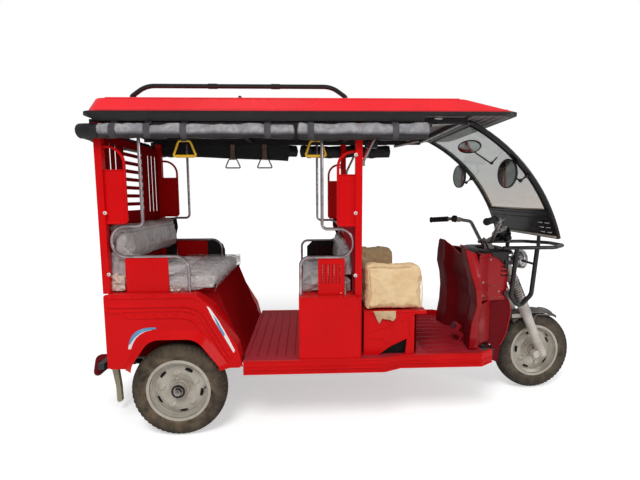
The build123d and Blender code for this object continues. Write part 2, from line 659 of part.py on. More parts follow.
bench_cushion_half = bench_half - 6
bench_cushion_front_x = rear_axle_x + 1256
bolster_width = 92  # raised ends of the driver's cushion
bolster_top_z = bench_top_z + 252
bench_seat_z = bench_top_z + 116
bench_back_z = bench_top_z + 238
bench_back_thickness = 74
with BuildPart() as driver_seat_cushion:
    for low_y in (-bench_cushion_half, bench_cushion_half - bolster_width):
        with BuildSketch(side_plane(low_y + bolster_width)):
            with BuildLine():
                FilletPolyline((bench_rear_x, bench_top_z + seat_gap), (bench_cushion_front_x, bench_top_z + seat_gap),
                               (bench_cushion_front_x, bolster_top_z), (bench_rear_x, bolster_top_z),
                               radius=[14, 62, 14, 14], close=True)
            make_face()
        extrude(amount=bolster_width)
    middle = (bolster_width - bench_cushion_half - 1, bench_cushion_half - bolster_width + 1)
    add_box((bench_rear_x + 2, bench_cushion_front_x - 16), middle, (bench_top_z + seat_gap, bench_seat_z))
    add_box((bench_rear_x + 2, bench_rear_x + bench_back_thickness), middle, (bench_seat_z, bench_back_z))
finish(driver_seat_cushion, "driver_seat_cushion")

# ---- front cowl ---------------------------------------------------------------------------
shield_bottom_z = driver_floor_z + 0.5
shield_top_z = 944
shield_sheet = 4
shield_flange = 34  # depth of the flange that stiffens the outer edges
shield_outer = 338
plan_edge_x = rear_axle_x + 1546
plan_deep_x = rear_axle_x + 1640
shield_sides = [(shield_outer, shield_bottom_z), (shield_outer, 470), (306, 560), (330, 690), (282, 800)]
shield_crest = [(240, 930), (150, shield_top_z), (60, 892)]


def shield_layer(outline, from_depth, to_depth, bend):
    """Layer of the curved legshield between two depths, cut to an outline seen from behind."""
    reach = shield_outer + 10
    with BuildPart() as layer:
        with BuildSketch(Plane.XY):
            with BuildLine():
                ThreePointArc((plan_edge_x + from_depth, -reach), (plan_deep_x + from_depth, 0),
                              (plan_edge_x + from_depth, reach))
                Line((plan_edge_x + from_depth, reach), (plan_edge_x + to_depth, reach))
                ThreePointArc((plan_edge_x + to_depth, reach), (plan_deep_x + to_depth, 0),
                              (plan_edge_x + to_depth, -reach))
                Line((plan_edge_x + to_depth, -reach), (plan_edge_x + from_depth, -reach))
            make_face()
        extrude(amount=shield_top_z + 100)
        with BuildSketch(Plane(origin=(plan_edge_x - 30, 0, 0), x_dir=(0, 1, 0), z_dir=(1, 0, 0))):
            with BuildLine():
                FilletPolyline(*outline, *[(-y, z) for y, z in reversed(outline)], radius=bend, close=True)
            make_face()
        extrude(amount=260, mode=Mode.INTERSECT)
    return layer.part


with BuildPart() as legshield:
    add(shield_layer(shield_sides + shield_crest, 0, shield_flange, 22))
    hollow = [(shield_outer - sheet, 300)] + [(y - sheet, z) for y, z in shield_sides[1:]]
    add(shield_layer(hollow + [(shield_sides[-1][0] - sheet, shield_top_z + 60)], shield_sheet, shield_flange + 1, 20),
        mode=Mode.SUBTRACT)
finish(legshield, "legshield")

apron_top_z = 872
apron_low_z = 600
apron_path = [(rear_axle_x + 1608, 232), (rear_axle_x + 1690, 172), (rear_axle_x + 1816, 144)]
cap_hole = 60
with BuildPart() as front_apron:
    for side in (-1, 1):
        wall = [(x, side * y) for x, y in apron_path] + [(x - 1, side * (y - sheet)) for x, y in reversed(apron_path)]
        with BuildSketch(Plane.XY.offset(apron_low_z)):
            Polygon(*wall, align=None)
        extrude(amount=apron_top_z - apron_low_z)
    cap_front_x = axis_point(apron_top_z)[0] + cap_hole + 14
    cap_half = [(plan_deep_x + 6, 75), (plan_deep_x - 6, 150), (apron_path[0][0] + 14, 222), (apron_path[1][0], 172),
                (cap_front_x, 150)]
    with BuildSketch(Plane.XY.offset(apron_top_z)):
        Polygon(*cap_half, *[(x, -y) for x, y in reversed(cap_half)], align=None)
        with Locations((axis_point(apron_top_z)[0], 0)):
            Circle(cap_hole, mode=Mode.SUBTRACT)
    extrude(amount=sheet)
finish(front_apron, "front_apron")

splash_half = 148
splash_front = [(rear_axle_x + 1788, 309), (rear_axle_x + 1820, 380), (rear_axle_x + 1836, 470),
                (rear_axle_x + 1846, 535), (rear_axle_x + 1826, apron_low_z - 0.3)]
splash_rear_x = rear_axle_x + 1706
flap_outline = [(rear_axle_x + 1736, 340), (rear_axle_x + 1700, 250), (rear_axle_x + 1776, 218),
                (rear_axle_x + 1788, 306)]
with BuildPart() as splash_panel:
    for side in (-1, 1):
        with BuildSketch(Plane(origin=(0, side * splash_half, 0), x_dir=(1, 0, 0), z_dir=(0, -1, 0))):
            Polygon((splash_rear_x, 336), *splash_front, (splash_rear_x, apron_low_z - 0.3), align=None)
        extrude(amount=side * sheet)
    with BuildSketch(side_plane(splash_half - 1)):
        Polygon(*splash_front, *[(x - sheet, z) for x, z in reversed(splash_front)], align=None)
    extrude(amount=2 * splash_half - 2)
    with BuildSketch(side_plane(-splash_half + 4)):
        Polygon(*flap_outline, align=None)
    extrude(amount=sheet)
finish(splash_panel, "splash_panel")

# ---- roof ---------------------------------------------------------------------------------
roof_sheet = 4
roof_mid_x = (roof_rear_x + roof_front_x) / 2
roof_length = roof_front_x - roof_rear_x
nose_length = 236  # how far the sloping nose reaches back from the front edge
crown_inset = 130


def roof_section(z, rear_inset, front_inset, side_inset, corner):
    """Rounded plan outline of the roof at height z."""
    length = roof_length - rear_inset - front_inset
    centre = Plane.XY.offset(z)
    with BuildSketch(centre) as section:
        with Locations((roof_mid_x + (rear_inset - front_inset) / 2, 0)):
            RectangleRounded(length, 2 * (roof_half_width - side_inset), corner)
    return section.sketch


with BuildPart() as roof_shell:
    loft([roof_section(roof_lip_z, 0, 0, 0, 60), roof_section(roof_shoulder_z, 34, nose_length, 14, 60)], ruled=True)
    loft([roof_section(roof_shoulder_z, 34, nose_length, 14, 60),
          roof_section(roof_crown_z, 34 + crown_inset, nose_length + crown_inset + 40, crown_inset, 60)], ruled=True)
    loft([roof_section(roof_lip_z - 1, roof_sheet, roof_sheet + 8, roof_sheet, 56),
          roof_section(roof_shoulder_z - roof_sheet, 38, nose_length + 8, 19, 56)], ruled=True, mode=Mode.SUBTRACT)
    loft([roof_section(roof_shoulder_z - roof_sheet - 0.01, 38, nose_length + 8, 19, 56),
          roof_section(roof_crown_z - roof_sheet, 38 + crown_inset, nose_length + crown_inset + 46,
                       crown_inset + 6, 56)], ruled=True, mode=Mode.SUBTRACT)
finish(roof_shell, "roof_shell")

screen_top_x = rear_axle_x + 1440
gutter_length = 1560
with BuildPart() as roof_lip:
    with BuildSketch(Plane.XY.offset(roof_under_z + 0.3)):
        with Locations((roof_mid_x - roof_lip_overhang / 2, 0)):
            RectangleRounded(roof_length + roof_lip_overhang - 2, 2 * roof_half_width + 2, 62)
    extrude(amount=3)
    with BuildSketch(Plane.XY.offset(roof_under_z + 3.3)):
        with Locations((roof_mid_x - roof_lip_overhang / 2, 0)):
            RectangleRounded(roof_length + roof_lip_overhang - 2, 2 * roof_half_width + 2, 62)
            RectangleRounded(roof_length - 60, 2 * roof_half_width - 60, 40, mode=Mode.SUBTRACT)
    extrude(amount=roof_lip_z - roof_under_z - 3.6)
    for side in (-1, 1):
        with BuildSketch(Plane(origin=(roof_rear_x + 30, 0, 0), x_dir=(0, 1, 0), z_dir=(1, 0, 0))):
            Polygon((side * (roof_half_width - 4), roof_under_z + 1), (side * (roof_half_width - 8), roof_under_z + 1),
                    (side * (roof_half_width - 30), roof_under_z - 26), (side * (roof_half_width - 26), roof_under_z - 26),
                    align=None)
        extrude(amount=gutter_length)
finish(roof_lip, "roof_lip")

with BuildPart() as roof_frame:
    frame_rear_x = rear_post_x - post_size / 2
    for side in (-1, 1):
        add_box((frame_rear_x, screen_top_x), (side * post_y - frame_bar / 2, side * post_y + frame_bar / 2),
                (frame_low_z, roof_under_z))
    for cross_x in (rear_post_x, rear_axle_x + 280, mid_post_x, screen_top_x - frame_bar / 2):
        add_box((cross_x - frame_bar / 2, cross_x + frame_bar / 2), (-post_y, post_y), (frame_low_z + 6, roof_under_z))
    for side in (-1, 1):
        add_box((frame_rear_x - 50, frame_rear_x + 5), (side * 330 - 10, side * 330 + 10), (frame_low_z + 8, roof_under_z))
finish(roof_frame, "roof_frame")

rack_y = 318
rack_z = 1748
rack_rear_x = rear_axle_x - 206
rack_front_x = rear_axle_x + 850
rack_tube = 22
with BuildPart() as roof_rack:
    foot_z = roof_crown_z + 0.2
    for side in (-1, 1):
        add_tube([(rack_rear_x, side * rack_y, foot_z), (rack_rear_x, side * rack_y, foot_z + 14),
                  (rack_rear_x + 70, side * rack_y, rack_z), (rack_front_x - 70, side * rack_y, rack_z),
                  (rack_front_x, side * rack_y, foot_z + 14), (rack_front_x, side * rack_y, foot_z)],
                 [12, 60, 60, 12], rack_tube)
    for cross_x in (rack_rear_x + 130, (rack_rear_x + rack_front_x) / 2, rack_front_x - 130):
        with BuildSketch(Plane(origin=(cross_x, -rack_y, rack_z), x_dir=(1, 0, 0), z_dir=(0, 1, 0))):
            Circle(9)
        extrude(amount=2 * rack_y)
finish(roof_rack, "roof_rack")

# ---- rolled rain curtains and hand grips --------------------------------------------------
roll_y = post_y + post_size / 2 + roll_half_depth + skin_gap
rear_roll_radius = 38
rear_roll_x = rear_post_x - post_size / 2 - rear_roll_radius - skin_gap
roll_spans = ((-333, 598, 1513, 34), (606, 1245, 1511, 41))
with BuildPart() as curtain_rolls:
    for side in (-1, 1):
        for start, end, roll_z, half_height in roll_spans:
            with BuildSketch(Plane(origin=(rear_axle_x + start, side * roll_y, roll_z), x_dir=(0, 1, 0),
                                   z_dir=(1, 0, 0))):
                Ellipse(roll_half_depth, half_height)
            extrude(amount=end - start)
    with BuildSketch(Plane(origin=(rear_roll_x, -404, 1514), x_dir=(1, 0, 0), z_dir=(0, 1, 0))):
        Circle(rear_roll_radius)
    extrude(amount=808)
finish(curtain_rolls, "curtain_rolls")

grip_y = post_y - 16
grip_places = ((57, -1, 122, 85, 10), (697, -1, 114, 85, 10), (154, 1, 100, 68, 5), (369, 1, 100, 68, 5))
with BuildPart() as hand_grips:
    for grip_x, side, width, height, bar in grip_places:
        x_mid = rear_axle_x + grip_x
        y_mid = side * grip_y
        low = 1396
        top = low + height
        with BuildSketch(side_plane(y_mid + 5)):
            with BuildLine():
                FilletPolyline((x_mid - width / 2, low), (x_mid + width / 2, low), (x_mid + width / 4, top),
                               (x_mid - width / 4, top), radius=10, close=True)
            make_face()
            offset(amount=-bar, mode=Mode.SUBTRACT)
        extrude(amount=10)
        add_box((x_mid - 14, x_mid + 14), (y_mid + side * 3 - 2, y_mid + side * 3 + 2), (top - 3, frame_low_z - 0.2))
finish(hand_grips, "hand_grips")

# ---- windscreen ---------------------------------------------------------------------------
screen_radius = 963
screen_top_z = roof_under_z - 0.3
screen_top_sine = 0.9  # sine of the curve's angle where it meets the roof
screen_centre_x = rear_axle_x + 1477 - screen_radius * cos(asin(screen_top_sine))
screen_centre_z = screen_top_z - screen_top_sine * screen_radius
screen_half = 345
screen_band = 14
screen_border = 30
screen_glass = 5
screen_low_z = 976
glass_low_z = 1125
glass_high_z = screen_top_z - 9


def screen_angle(z):
    """Angle at which the windscreen's outer face reaches height z."""
    return asin((z - screen_centre_z) / screen_radius)


def screen_point(radius, z_outer):
    """Point (x, z) at radius, on the ray through height z_outer of the windscreen's outer face."""
    angle = screen_angle(z_outer)
    return (screen_centre_x + radius * cos(angle), screen_centre_z + radius * sin(angle))


def screen_arc(outer, inner, low_z, high_z):
    """Face between two radii of the windscreen curve, from low_z to high_z."""
    mid_z = screen_centre_z + screen_radius * sin((screen_angle(low_z) + screen_angle(high_z)) / 2)
    with BuildSketch(Plane.XY) as band:
        with BuildLine():
            ThreePointArc(screen_point(outer, low_z), screen_point(outer, mid_z), screen_point(outer, high_z))
            Line(screen_point(outer, high_z), screen_point(inner, high_z))
            ThreePointArc(screen_point(inner, high_z), screen_point(inner, mid_z), screen_point(inner, low_z))
            Line(screen_point(inner, low_z), screen_point(outer, low_z))
        make_face()
    return band.sketch


guard_y = 165
guard_tube = 22
guard_z = 905
with BuildPart() as windscreen_frame:
    inner_radius = screen_radius - screen_band
    for low_y in (-screen_half, screen_half - screen_border):
        with BuildSketch(side_plane(low_y + screen_border)):
            add(screen_arc(screen_radius, inner_radius, screen_low_z, screen_top_z))
        extrude(amount=screen_border)
    with BuildSketch(side_plane(screen_half - 1)):
        add(screen_arc(screen_radius, inner_radius, screen_low_z, glass_low_z))
    extrude(amount=2 * screen_half - 2)
    with BuildSketch(side_plane(screen_half - 1)):
        add(screen_arc(screen_radius, inner_radius, glass_high_z, screen_top_z))
    extrude(amount=2 * screen_half - 2)
    top_x = screen_point(inner_radius, screen_top_z)[0]
    for side in (-1, 1):
        add_box((screen_top_x + 0.3, top_x + 6), (side * 300 - 20, side * 300 + 20), (1566, 1580))
        low_x, low_z = screen_point(screen_radius - screen_band / 2, screen_low_z)
        add_box((low_x - 8, low_x + 4), (side * guard_y - 9, side * guard_y + 9), (guard_z + guard_tube / 2 + 0.3, low_z + 10))
finish(windscreen_frame, "windscreen_frame")

with BuildPart() as windscreen_glass:
    glass_half = screen_half - screen_border - 0.3
    with BuildSketch(side_plane(glass_half)):
        add(screen_arc(screen_radius - 3, screen_radius - 3 - screen_glass, glass_low_z + 1, glass_high_z - 1))
    extrude(amount=2 * glass_half)
finish(windscreen_glass, "windscreen_glass")

# ---- front guard and headlamp -------------------------------------------------------------
with BuildPart() as front_guard:
    rear_leg_x = rear_axle_x + 1834
    front_leg_x = rear_axle_x + 1972
    nose_x = rear_axle_x + 2186
    for side in (-1, 1):
        y = side * guard_y
        add_tube([(rear_leg_x + 20, y, guard_z), (rear_leg_x - 4, y, 620), (rear_leg_x + 46, y, 556),
                  (front_leg_x - 22, y, 630), (front_leg_x, y, guard_z)], [40, 30, 50], guard_tube + 3)
        for z in (640, 820):
            inner_y = splash_half + 3.3 if z < 700 else apron_path[2][1] + 6
            add_box((rear_axle_x + 1790, rear_leg_x), (min(y, side * inner_y), max(y, side * inner_y)), (z - 12, z + 12))
    add_tube([(rear_leg_x - 60, -guard_y, guard_z), (nose_x - 110, -guard_y, guard_z), (nose_x, -70, guard_z),
              (nose_x, 70, guard_z), (nose_x - 110, guard_y, guard_z), (rear_leg_x - 60, guard_y, guard_z)],
             [60, 50, 50, 60], guard_tube)
    lamp_x = rear_axle_x + 1958
    lamp_z = 812
    with BuildSketch(Plane(origin=(lamp_x - 6, -guard_y, lamp_z), x_dir=(1, 0, 0), z_dir=(0, 1, 0))):
        Circle(7)
    extrude(amount=2 * guard_y)
finish(front_guard, "front_guard")

lamp_radius = 56
with BuildPart() as headlamp:
    with BuildSketch(Plane(origin=(lamp_x, 0, lamp_z), x_dir=(1, 0, 0), z_dir=(0, -1, 0))):
        with BuildLine():
            Line((-46, 0), (26, 0))
            Line((26, 0), (26, lamp_radius - 8))
            Line((26, lamp_radius - 8), (14, lamp_radius))
            Line((14, lamp_radius), (2, lamp_radius))
            ThreePointArc((2, lamp_radius), (-34, lamp_radius * 0.6), (-46, 0))
        make_face()
    revolve(axis=Axis((lamp_x, 0, lamp_z), (1, 0, 0)))
    with BuildSketch(Plane(origin=(lamp_x - 6, -guard_y, lamp_z), x_dir=(1, 0, 0), z_dir=(0, 1, 0))):
        Circle(7.3)
    extrude(amount=2 * guard_y, mode=Mode.SUBTRACT)
finish(headlamp, "headlamp")

# ---- mirrors and tail lamps ---------------------------------------------------------------
mirror_y = 300
mirror_places = {-1: (rear_axle_x + 1704, 1318, 36), 1: (rear_axle_x + 1684, 1334, 26)}  # x, z and turn to the right
with BuildPart() as mirrors:
    for side, (mirror_x, mirror_z, turn) in mirror_places.items():
        face = (-cos(radians(turn)), -sin(radians(turn)), 0)
        back = (cos(radians(turn)), sin(radians(turn)), 0)
        with BuildSketch(Plane(origin=(mirror_x, side * mirror_y, mirror_z), x_dir=(face[1], -face[0], 0), z_dir=back)):
            Ellipse(50, 76)
        extrude(amount=14)
        edge_x, edge_z = screen_point(screen_radius - screen_band - 0.3, mirror_z)
        near_x, near_z = screen_point(screen_radius - screen_band - 50, mirror_z)
        add_tube([(mirror_x + 10, side * (mirror_y + 6), mirror_z), (near_x, side * (screen_half - 14), near_z),
                  (edge_x, side * (screen_half - 14), edge_z)], 14, 9)
    cabin_z = 1472
    cabin_y = -170
    cabin_x = screen_point(screen_radius, cabin_z)[0] - 104
    with BuildSketch(Plane(origin=(cabin_x, cabin_y, cabin_z), x_dir=(0.71, -0.71, 0), z_dir=(0.67, 0.67, 0.32))):
        Ellipse(64, 36)
    extrude(amount=10)
    glass_x, glass_z = screen_point(screen_radius - 3 - screen_glass - 0.3, cabin_z - 52)
    near_x, near_z = screen_point(screen_radius - 3 - screen_glass - 46, cabin_z - 52)
    add_tube([(cabin_x + 6, cabin_y + 6, cabin_z - 10), (near_x, cabin_y, near_z), (glass_x, cabin_y, glass_z)], 10, 8)
finish(mirrors, "mirrors")

with BuildPart() as tail_lamps:
    for side in (-1, 1):
        add_box((wall_x - 26, wall_x - seat_gap), (side * 320 - 34, side * 320 + 34), (520, 660))
        fillet(tail_lamps.edges().filter_by(Axis.X).group_by(Axis.Y)[-1 if side > 0 else 0], 8)
finish(tail_lamps, "tail_lamps")

# ---- steering: fork, handlebar, instruments and mudguard ----------------------------------
slider_top = 318
slider_radius = 25
spring_span = (324, 488)
lower_clamp = (490, 513)
upper_clamp = (605, 623)
bar_height = 744
bar_forward = 12


def steering_plane(height, forward=0, side=0):
    """Plane square to the steering axis, height up it from axle level; sketch x is forward."""
    rake = radians(head_angle)
    foot = axis_point(tyre_radius)
    origin = (foot[0] - height * sin(rake) + forward * cos(rake), side,
              foot[2] + height * cos(rake) + forward * sin(rake))
    return Plane(origin=origin, x_dir=(cos(rake), 0, sin(rake)), z_dir=steering_up)


with BuildPart() as fork:
    for side in (-1, 1):
        leg_y = side * fork_leg_y
        for low, high, radius in ((-34, slider_top, slider_radius), (slider_top, upper_clamp[1] + 8, 15),
                                  (spring_span[0], spring_span[1], slider_radius + 1)):
            with BuildSketch(steering_plane(low, fork_offset, leg_y)):
                Circle(radius)
            extrude(amount=high - low)
    for low, high in (lower_clamp, upper_clamp):
        with BuildSketch(steering_plane(low)):
            with BuildLine():
                FilletPolyline((-20, -22), (-20, 22), (22, 104), (70, 104), (70, -104), (22, -104), radius=14,
                               close=True)
            make_face()
        extrude(amount=high - low)
    with BuildSketch(steering_plane(lower_clamp[0])):
        Circle(stem_radius)
    extrude(amount=upper_clamp[1] + 10 - lower_clamp[0])
    with BuildSketch(Plane(origin=(front_axle_x, 0, tyre_radius), x_dir=(1, 0, 0), z_dir=(0, 1, 0))):
        Circle(spindle_radius)
    extrude(amount=fork_leg_y + 20, both=True)
finish(fork, "fork", steered=True)

grip_end = (rear_axle_x + 1545, 350, 1054)
grip_start = (rear_axle_x + 1651, 244, 1062)
bar_shoulder = (rear_axle_x + 1736, 164, 1046)
bar_mid = steering_plane(bar_height, bar_forward).origin
bar_tube = 22
with BuildPart() as handlebar:
    half_bar = [grip_end, grip_start, bar_shoulder, (bar_mid.X, 56, bar_mid.Z)]
    add_tube([(x, -y, z) for x, y, z in half_bar] + half_bar[::-1], [40, 36, 34, 34, 36, 40], bar_tube)
    with BuildSketch(steering_plane(upper_clamp[1] + 0.3, bar_forward)):
        with GridLocations(1, 54, 1, 2):
            RectangleRounded(34, 20, 5)
    extrude(amount=bar_height - upper_clamp[1] + 14)
    for side in (-1, 1):
        root = (grip_start[0] + 14, side * (grip_start[1] - 14), grip_start[2] - 10)
        add_tube([root, (root[0] + 42, root[1] + side * 20, root[2] + 12),
                  (root[0] - 46, root[1] + side * 126, root[2] + 4)], 14, 9)
finish(handlebar, "handlebar", steered=True)

grip_tube = 34
with BuildPart() as bar_grips:
    for side in (-1, 1):
        direction = Vector(grip_end[0] - grip_start[0], side * (grip_end[1] - grip_start[1]), grip_end[2] - grip_start[2])
        direction = direction.normalized()
        end = Vector(grip_end[0], side * grip_end[1], grip_end[2]) + direction * 4
        with BuildSketch(Plane(origin=end - direction * 122, z_dir=direction)):
            Circle(grip_tube / 2)
        extrude(amount=122)
        with BuildSketch(Plane(origin=end - direction * 123, z_dir=direction)):
            Circle(bar_tube / 2 + 0.3)
        extrude(amount=119, mode=Mode.SUBTRACT)
finish(bar_grips, "bar_grips", steered=True)

bracket_start = bar_forward + 17 + skin_gap
bracket_length = 98
with BuildPart() as instrument_pod:
    pod_tilt = Plane(origin=steering_plane(bar_height, 126).origin, x_dir=(0, 1, 0), z_dir=(-0.5, 0, 0.866))
    with BuildSketch(pod_tilt.offset(-22)):
        Circle(50)
    extrude(amount=44, taper=-3)
    with BuildSketch(steering_plane(bar_height - 6, bracket_start + bracket_length / 2)):
        RectangleRounded(bracket_length, 70, 4)
    extrude(amount=8, both=True)
finish(instrument_pod, "instrument_pod", steered=True)

guard_inner = tyre_radius + 14
mudguard_sheet = 4
with BuildPart() as front_mudguard:
    with BuildSketch(Plane(origin=(front_axle_x, 52, tyre_radius), x_dir=(1, 0, 0), z_dir=(0, -1, 0))):
        with BuildLine():
            CenterArc((0, 0), guard_inner, 58, 70)
            CenterArc((0, 0), guard_inner + mudguard_sheet, 58, 70)
            Line((guard_inner * cos(radians(58)), guard_inner * sin(radians(58))),
                 ((guard_inner + mudguard_sheet) * cos(radians(58)), (guard_inner + mudguard_sheet) * sin(radians(58))))
            Line((guard_inner * cos(radians(128)), guard_inner * sin(radians(128))),
                 ((guard_inner + mudguard_sheet) * cos(radians(128)), (guard_inner + mudguard_sheet) * sin(radians(128))))
        make_face()
    extrude(amount=104)
    for side in (-1, 1):
        with BuildSketch(steering_plane(232, fork_offset, side * (fork_leg_y - slider_radius - 2.8))):
            Rectangle(24, 5)
        extrude(amount=16)
finish(front_mudguard, "front_mudguard", steered=True)
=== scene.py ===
import json
from math import atan2, cos, pi, radians, sin, sqrt, tau

import bmesh
import bpy
from mathutils import Matrix, Vector, noise


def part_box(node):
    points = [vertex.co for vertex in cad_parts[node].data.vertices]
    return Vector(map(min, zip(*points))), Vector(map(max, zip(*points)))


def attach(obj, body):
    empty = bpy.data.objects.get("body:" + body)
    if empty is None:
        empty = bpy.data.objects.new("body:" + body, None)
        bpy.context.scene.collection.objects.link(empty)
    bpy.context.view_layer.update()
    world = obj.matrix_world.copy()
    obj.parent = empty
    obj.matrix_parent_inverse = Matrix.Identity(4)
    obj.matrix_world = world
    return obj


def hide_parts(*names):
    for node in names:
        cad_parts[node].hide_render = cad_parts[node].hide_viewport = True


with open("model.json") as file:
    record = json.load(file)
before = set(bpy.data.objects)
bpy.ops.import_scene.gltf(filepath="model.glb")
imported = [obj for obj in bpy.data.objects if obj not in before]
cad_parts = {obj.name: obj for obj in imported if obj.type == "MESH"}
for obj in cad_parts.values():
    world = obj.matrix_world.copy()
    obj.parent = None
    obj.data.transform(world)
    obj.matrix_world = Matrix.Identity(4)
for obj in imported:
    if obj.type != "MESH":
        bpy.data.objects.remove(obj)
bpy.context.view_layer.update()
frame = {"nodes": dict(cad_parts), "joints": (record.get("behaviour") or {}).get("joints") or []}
node_of = frame["nodes"]
MM = 0.001  # metres in a millimetre

# ---- places read from the frame ------------------------------------------------------------


def centre_of(node):
    """Middle of a node's box."""
    low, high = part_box(node)
    return (low + high) / 2


AXLE_X = centre_of("rear_right_tyre").x
TYRE_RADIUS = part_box("rear_right_tyre")[1].z / 2


def at(x, y, z):
    """Point in metres from millimetres ahead of the rear axle, to the left and above the ground."""
    return Vector((AXLE_X + x * MM, y * MM, z * MM))


LEFT = Vector((0, 1, 0))

# ---- materials -----------------------------------------------------------------------------


def linear(hex_colour):
    """Linear RGBA of an sRGB hex colour."""
    channels = [int(hex_colour[i:i + 2], 16) / 255 for i in (1, 3, 5)]
    return (*[c / 12.92 if c <= 0.04045 else ((c + 0.055) / 1.055) ** 2.4 for c in channels], 1.0)


def colour_of(hex_colour, gain):
    """Linear colour of a hex value, made lighter or darker by gain."""
    red, green, blue = linear(hex_colour)[:3]
    return (min(red * gain, 1), min(green * gain, 1), min(blue * gain, 1), 1.0)


def fill(tree, node, inputs):
    """Fills a node's inputs with values or with other nodes' sockets."""
    for name, value in inputs.items():
        if isinstance(value, bpy.types.NodeSocket):
            tree.links.new(value, node.inputs[name])
        else:
            node.inputs[name].default_value = value


def add_node(tree, kind, inputs=None, **settings):
    """Adds a node, applies its settings and fills its inputs."""
    node = tree.nodes.new(kind)
    for name, value in settings.items():
        setattr(node, name, value)
    fill(tree, node, inputs or {})
    return node


def per_mm(size):
    """Texture scale that gives a pattern of this size in millimetres."""
    return 1.0 / (size * MM)


def start_material(name, sockets):
    """New material with a Principled shader; returns the material, its tree, shader and place."""
    material = bpy.data.materials.new(name)
    material.use_nodes = True
    tree = material.node_tree
    tree.nodes.clear()
    shader = add_node(tree, "ShaderNodeBsdfPrincipled", sockets)
    add_node(tree, "ShaderNodeOutputMaterial", {"Surface": shader.outputs[0]})
    place = add_node(tree, "ShaderNodeTexCoord").outputs["Object"]
    return material, tree, shader, place


def cloudy(tree, place, size, detail, **more):
    """Noise from 0 to 1 with lumps of size millimetres."""
    return add_node(tree, "ShaderNodeTexNoise", {"Vector": place, "Scale": per_mm(size), "Detail": detail,
                                                 **more}).outputs["Fac"]


def maths(tree, operation, *values):
    """Result of a math node on values."""
    return add_node(tree, "ShaderNodeMath", dict(enumerate(values)), operation=operation).outputs[0]


def mixed(tree, factor, first, second):
    """Colour output that goes from first to second by factor."""
    return add_node(tree, "ShaderNodeMix", {0: factor, 6: first, 7: second}, data_type="RGBA").outputs[2]


def spread(tree, value, low, high, to_low=0.0, to_high=1.0):
    """Value remapped from low..high to to_low..to_high, clamped."""
    return add_node(tree, "ShaderNodeMapRange", {"Value": value, "From Min": low, "From Max": high,
                                                 "To Min": to_low, "To Max": to_high}).outputs[0]


def relief(tree, height, strength, depth, **more):
    """Normal output of a relief of depth millimetres."""
    return add_node(tree, "ShaderNodeBump", {"Strength": strength, "Distance": depth * MM, "Height": height,
                                             **more}).outputs[0]


def height_of(tree, vector):
    """Z part of a vector output."""
    return add_node(tree, "ShaderNodeSeparateXYZ", {"Vector": vector}).outputs["Z"]


def sprayed_enamel(name, colour, dusty, roughness=0.26, coat=0.25, dust=0.3):
    """Gloss enamel on pressed steel: even deep colour, slow dents, thin dust on faces that look up."""
    material, tree, shader, place = start_material(name, {
        "IOR": 1.45, "Coat Weight": coat, "Coat Roughness": 0.08, "Specular IOR Level": coat * 1.2})
    cloud = cloudy(tree, place, 260, 2.0)
    facing = height_of(tree, add_node(tree, "ShaderNodeNewGeometry").outputs["Normal"])
    cover = maths(tree, "MULTIPLY", spread(tree, facing, 0.5, 1.0, 0.0, dust), cloud)
    tone = mixed(tree, spread(tree, cloud, 0.35, 0.65), colour_of(colour, 0.94), colour_of(colour, 1.05))
    fill(tree, shader, {"Base Color": mixed(tree, cover, tone, linear(dusty)),
                        "Roughness": spread(tree, cloud, 0.3, 0.7, roughness, roughness + 0.06),
                        "Normal": relief(tree, cloudy(tree, place, 210, 0.0), 0.5, 2.5)})
    return material


def moulded(name, colour, pale, roughness, grain_mm, grain_depth, ior=1.5, coat=0.0, metallic=0.0):
    """Moulded or painted part with a fine grain: one colour that pales a little where it is rubbed."""
    material, tree, shader, place = start_material(name, {
        "IOR": ior, "Coat Weight": coat, "Metallic": metallic})
    cloud = cloudy(tree, place, 60, 5.0, Roughness=0.6)
    rubbed = spread(tree, cloud, 0.42, 0.75, 0.0, 0.8)
    fill(tree, shader, {"Base Color": mixed(tree, rubbed, linear(colour), linear(pale)),
                        "Roughness": spread(tree, cloud, 0.3, 0.7, roughness, roughness + 0.14),
                        "Normal": relief(tree, cloudy(tree, place, grain_mm, 3.0), 0.5, grain_depth)})
    return material


def woven_cloth(name, colour, pale, thread_mm, roughness=0.8, sheen=0.2):
    """Woven synthetic cloth: threads cross at right angles and the folds pale where they are rubbed."""
    material, tree, shader, place = start_material(name, {
        "Sheen Weight": sheen, "Sheen Roughness": 0.5, "Roughness": roughness})
    cloud = cloudy(tree, place, 45, 6.0, Roughness=0.62)
    threads = [add_node(tree, "ShaderNodeTexWave", {
        "Vector": place, "Scale": per_mm(thread_mm) / tau * 0.5, "Distortion": 0.4, "Detail": 1.0},
        bands_direction=direction).outputs["Fac"] for direction in ("X", "Z")]
    rubbed = spread(tree, cloud, 0.35, 0.7)
    fill(tree, shader, {"Base Color": mixed(tree, rubbed, linear(colour), linear(pale)),
                        "Normal": relief(tree, maths(tree, "MAXIMUM", *threads), 0.3, 0.3)})
    return material


def bright_metal(name, colour, dull, roughness, scratch_mm=3.0):
    """Plated or polished metal: mirror-like with fine rubbing marks and dull patches."""
    material, tree, shader, place = start_material(name, {"Metallic": 1.0})
    cloud = cloudy(tree, place, 35, 5.0)
    patches = spread(tree, cloud, 0.4, 0.7)
    fill(tree, shader, {"Base Color": mixed(tree, patches, linear(colour), linear(dull)),
                        "Roughness": spread(tree, cloud, 0.3, 0.7, roughness, roughness + 0.16),
                        "Normal": relief(tree, cloudy(tree, place, scratch_mm, 4.0), 0.15, 0.05)})
    return material


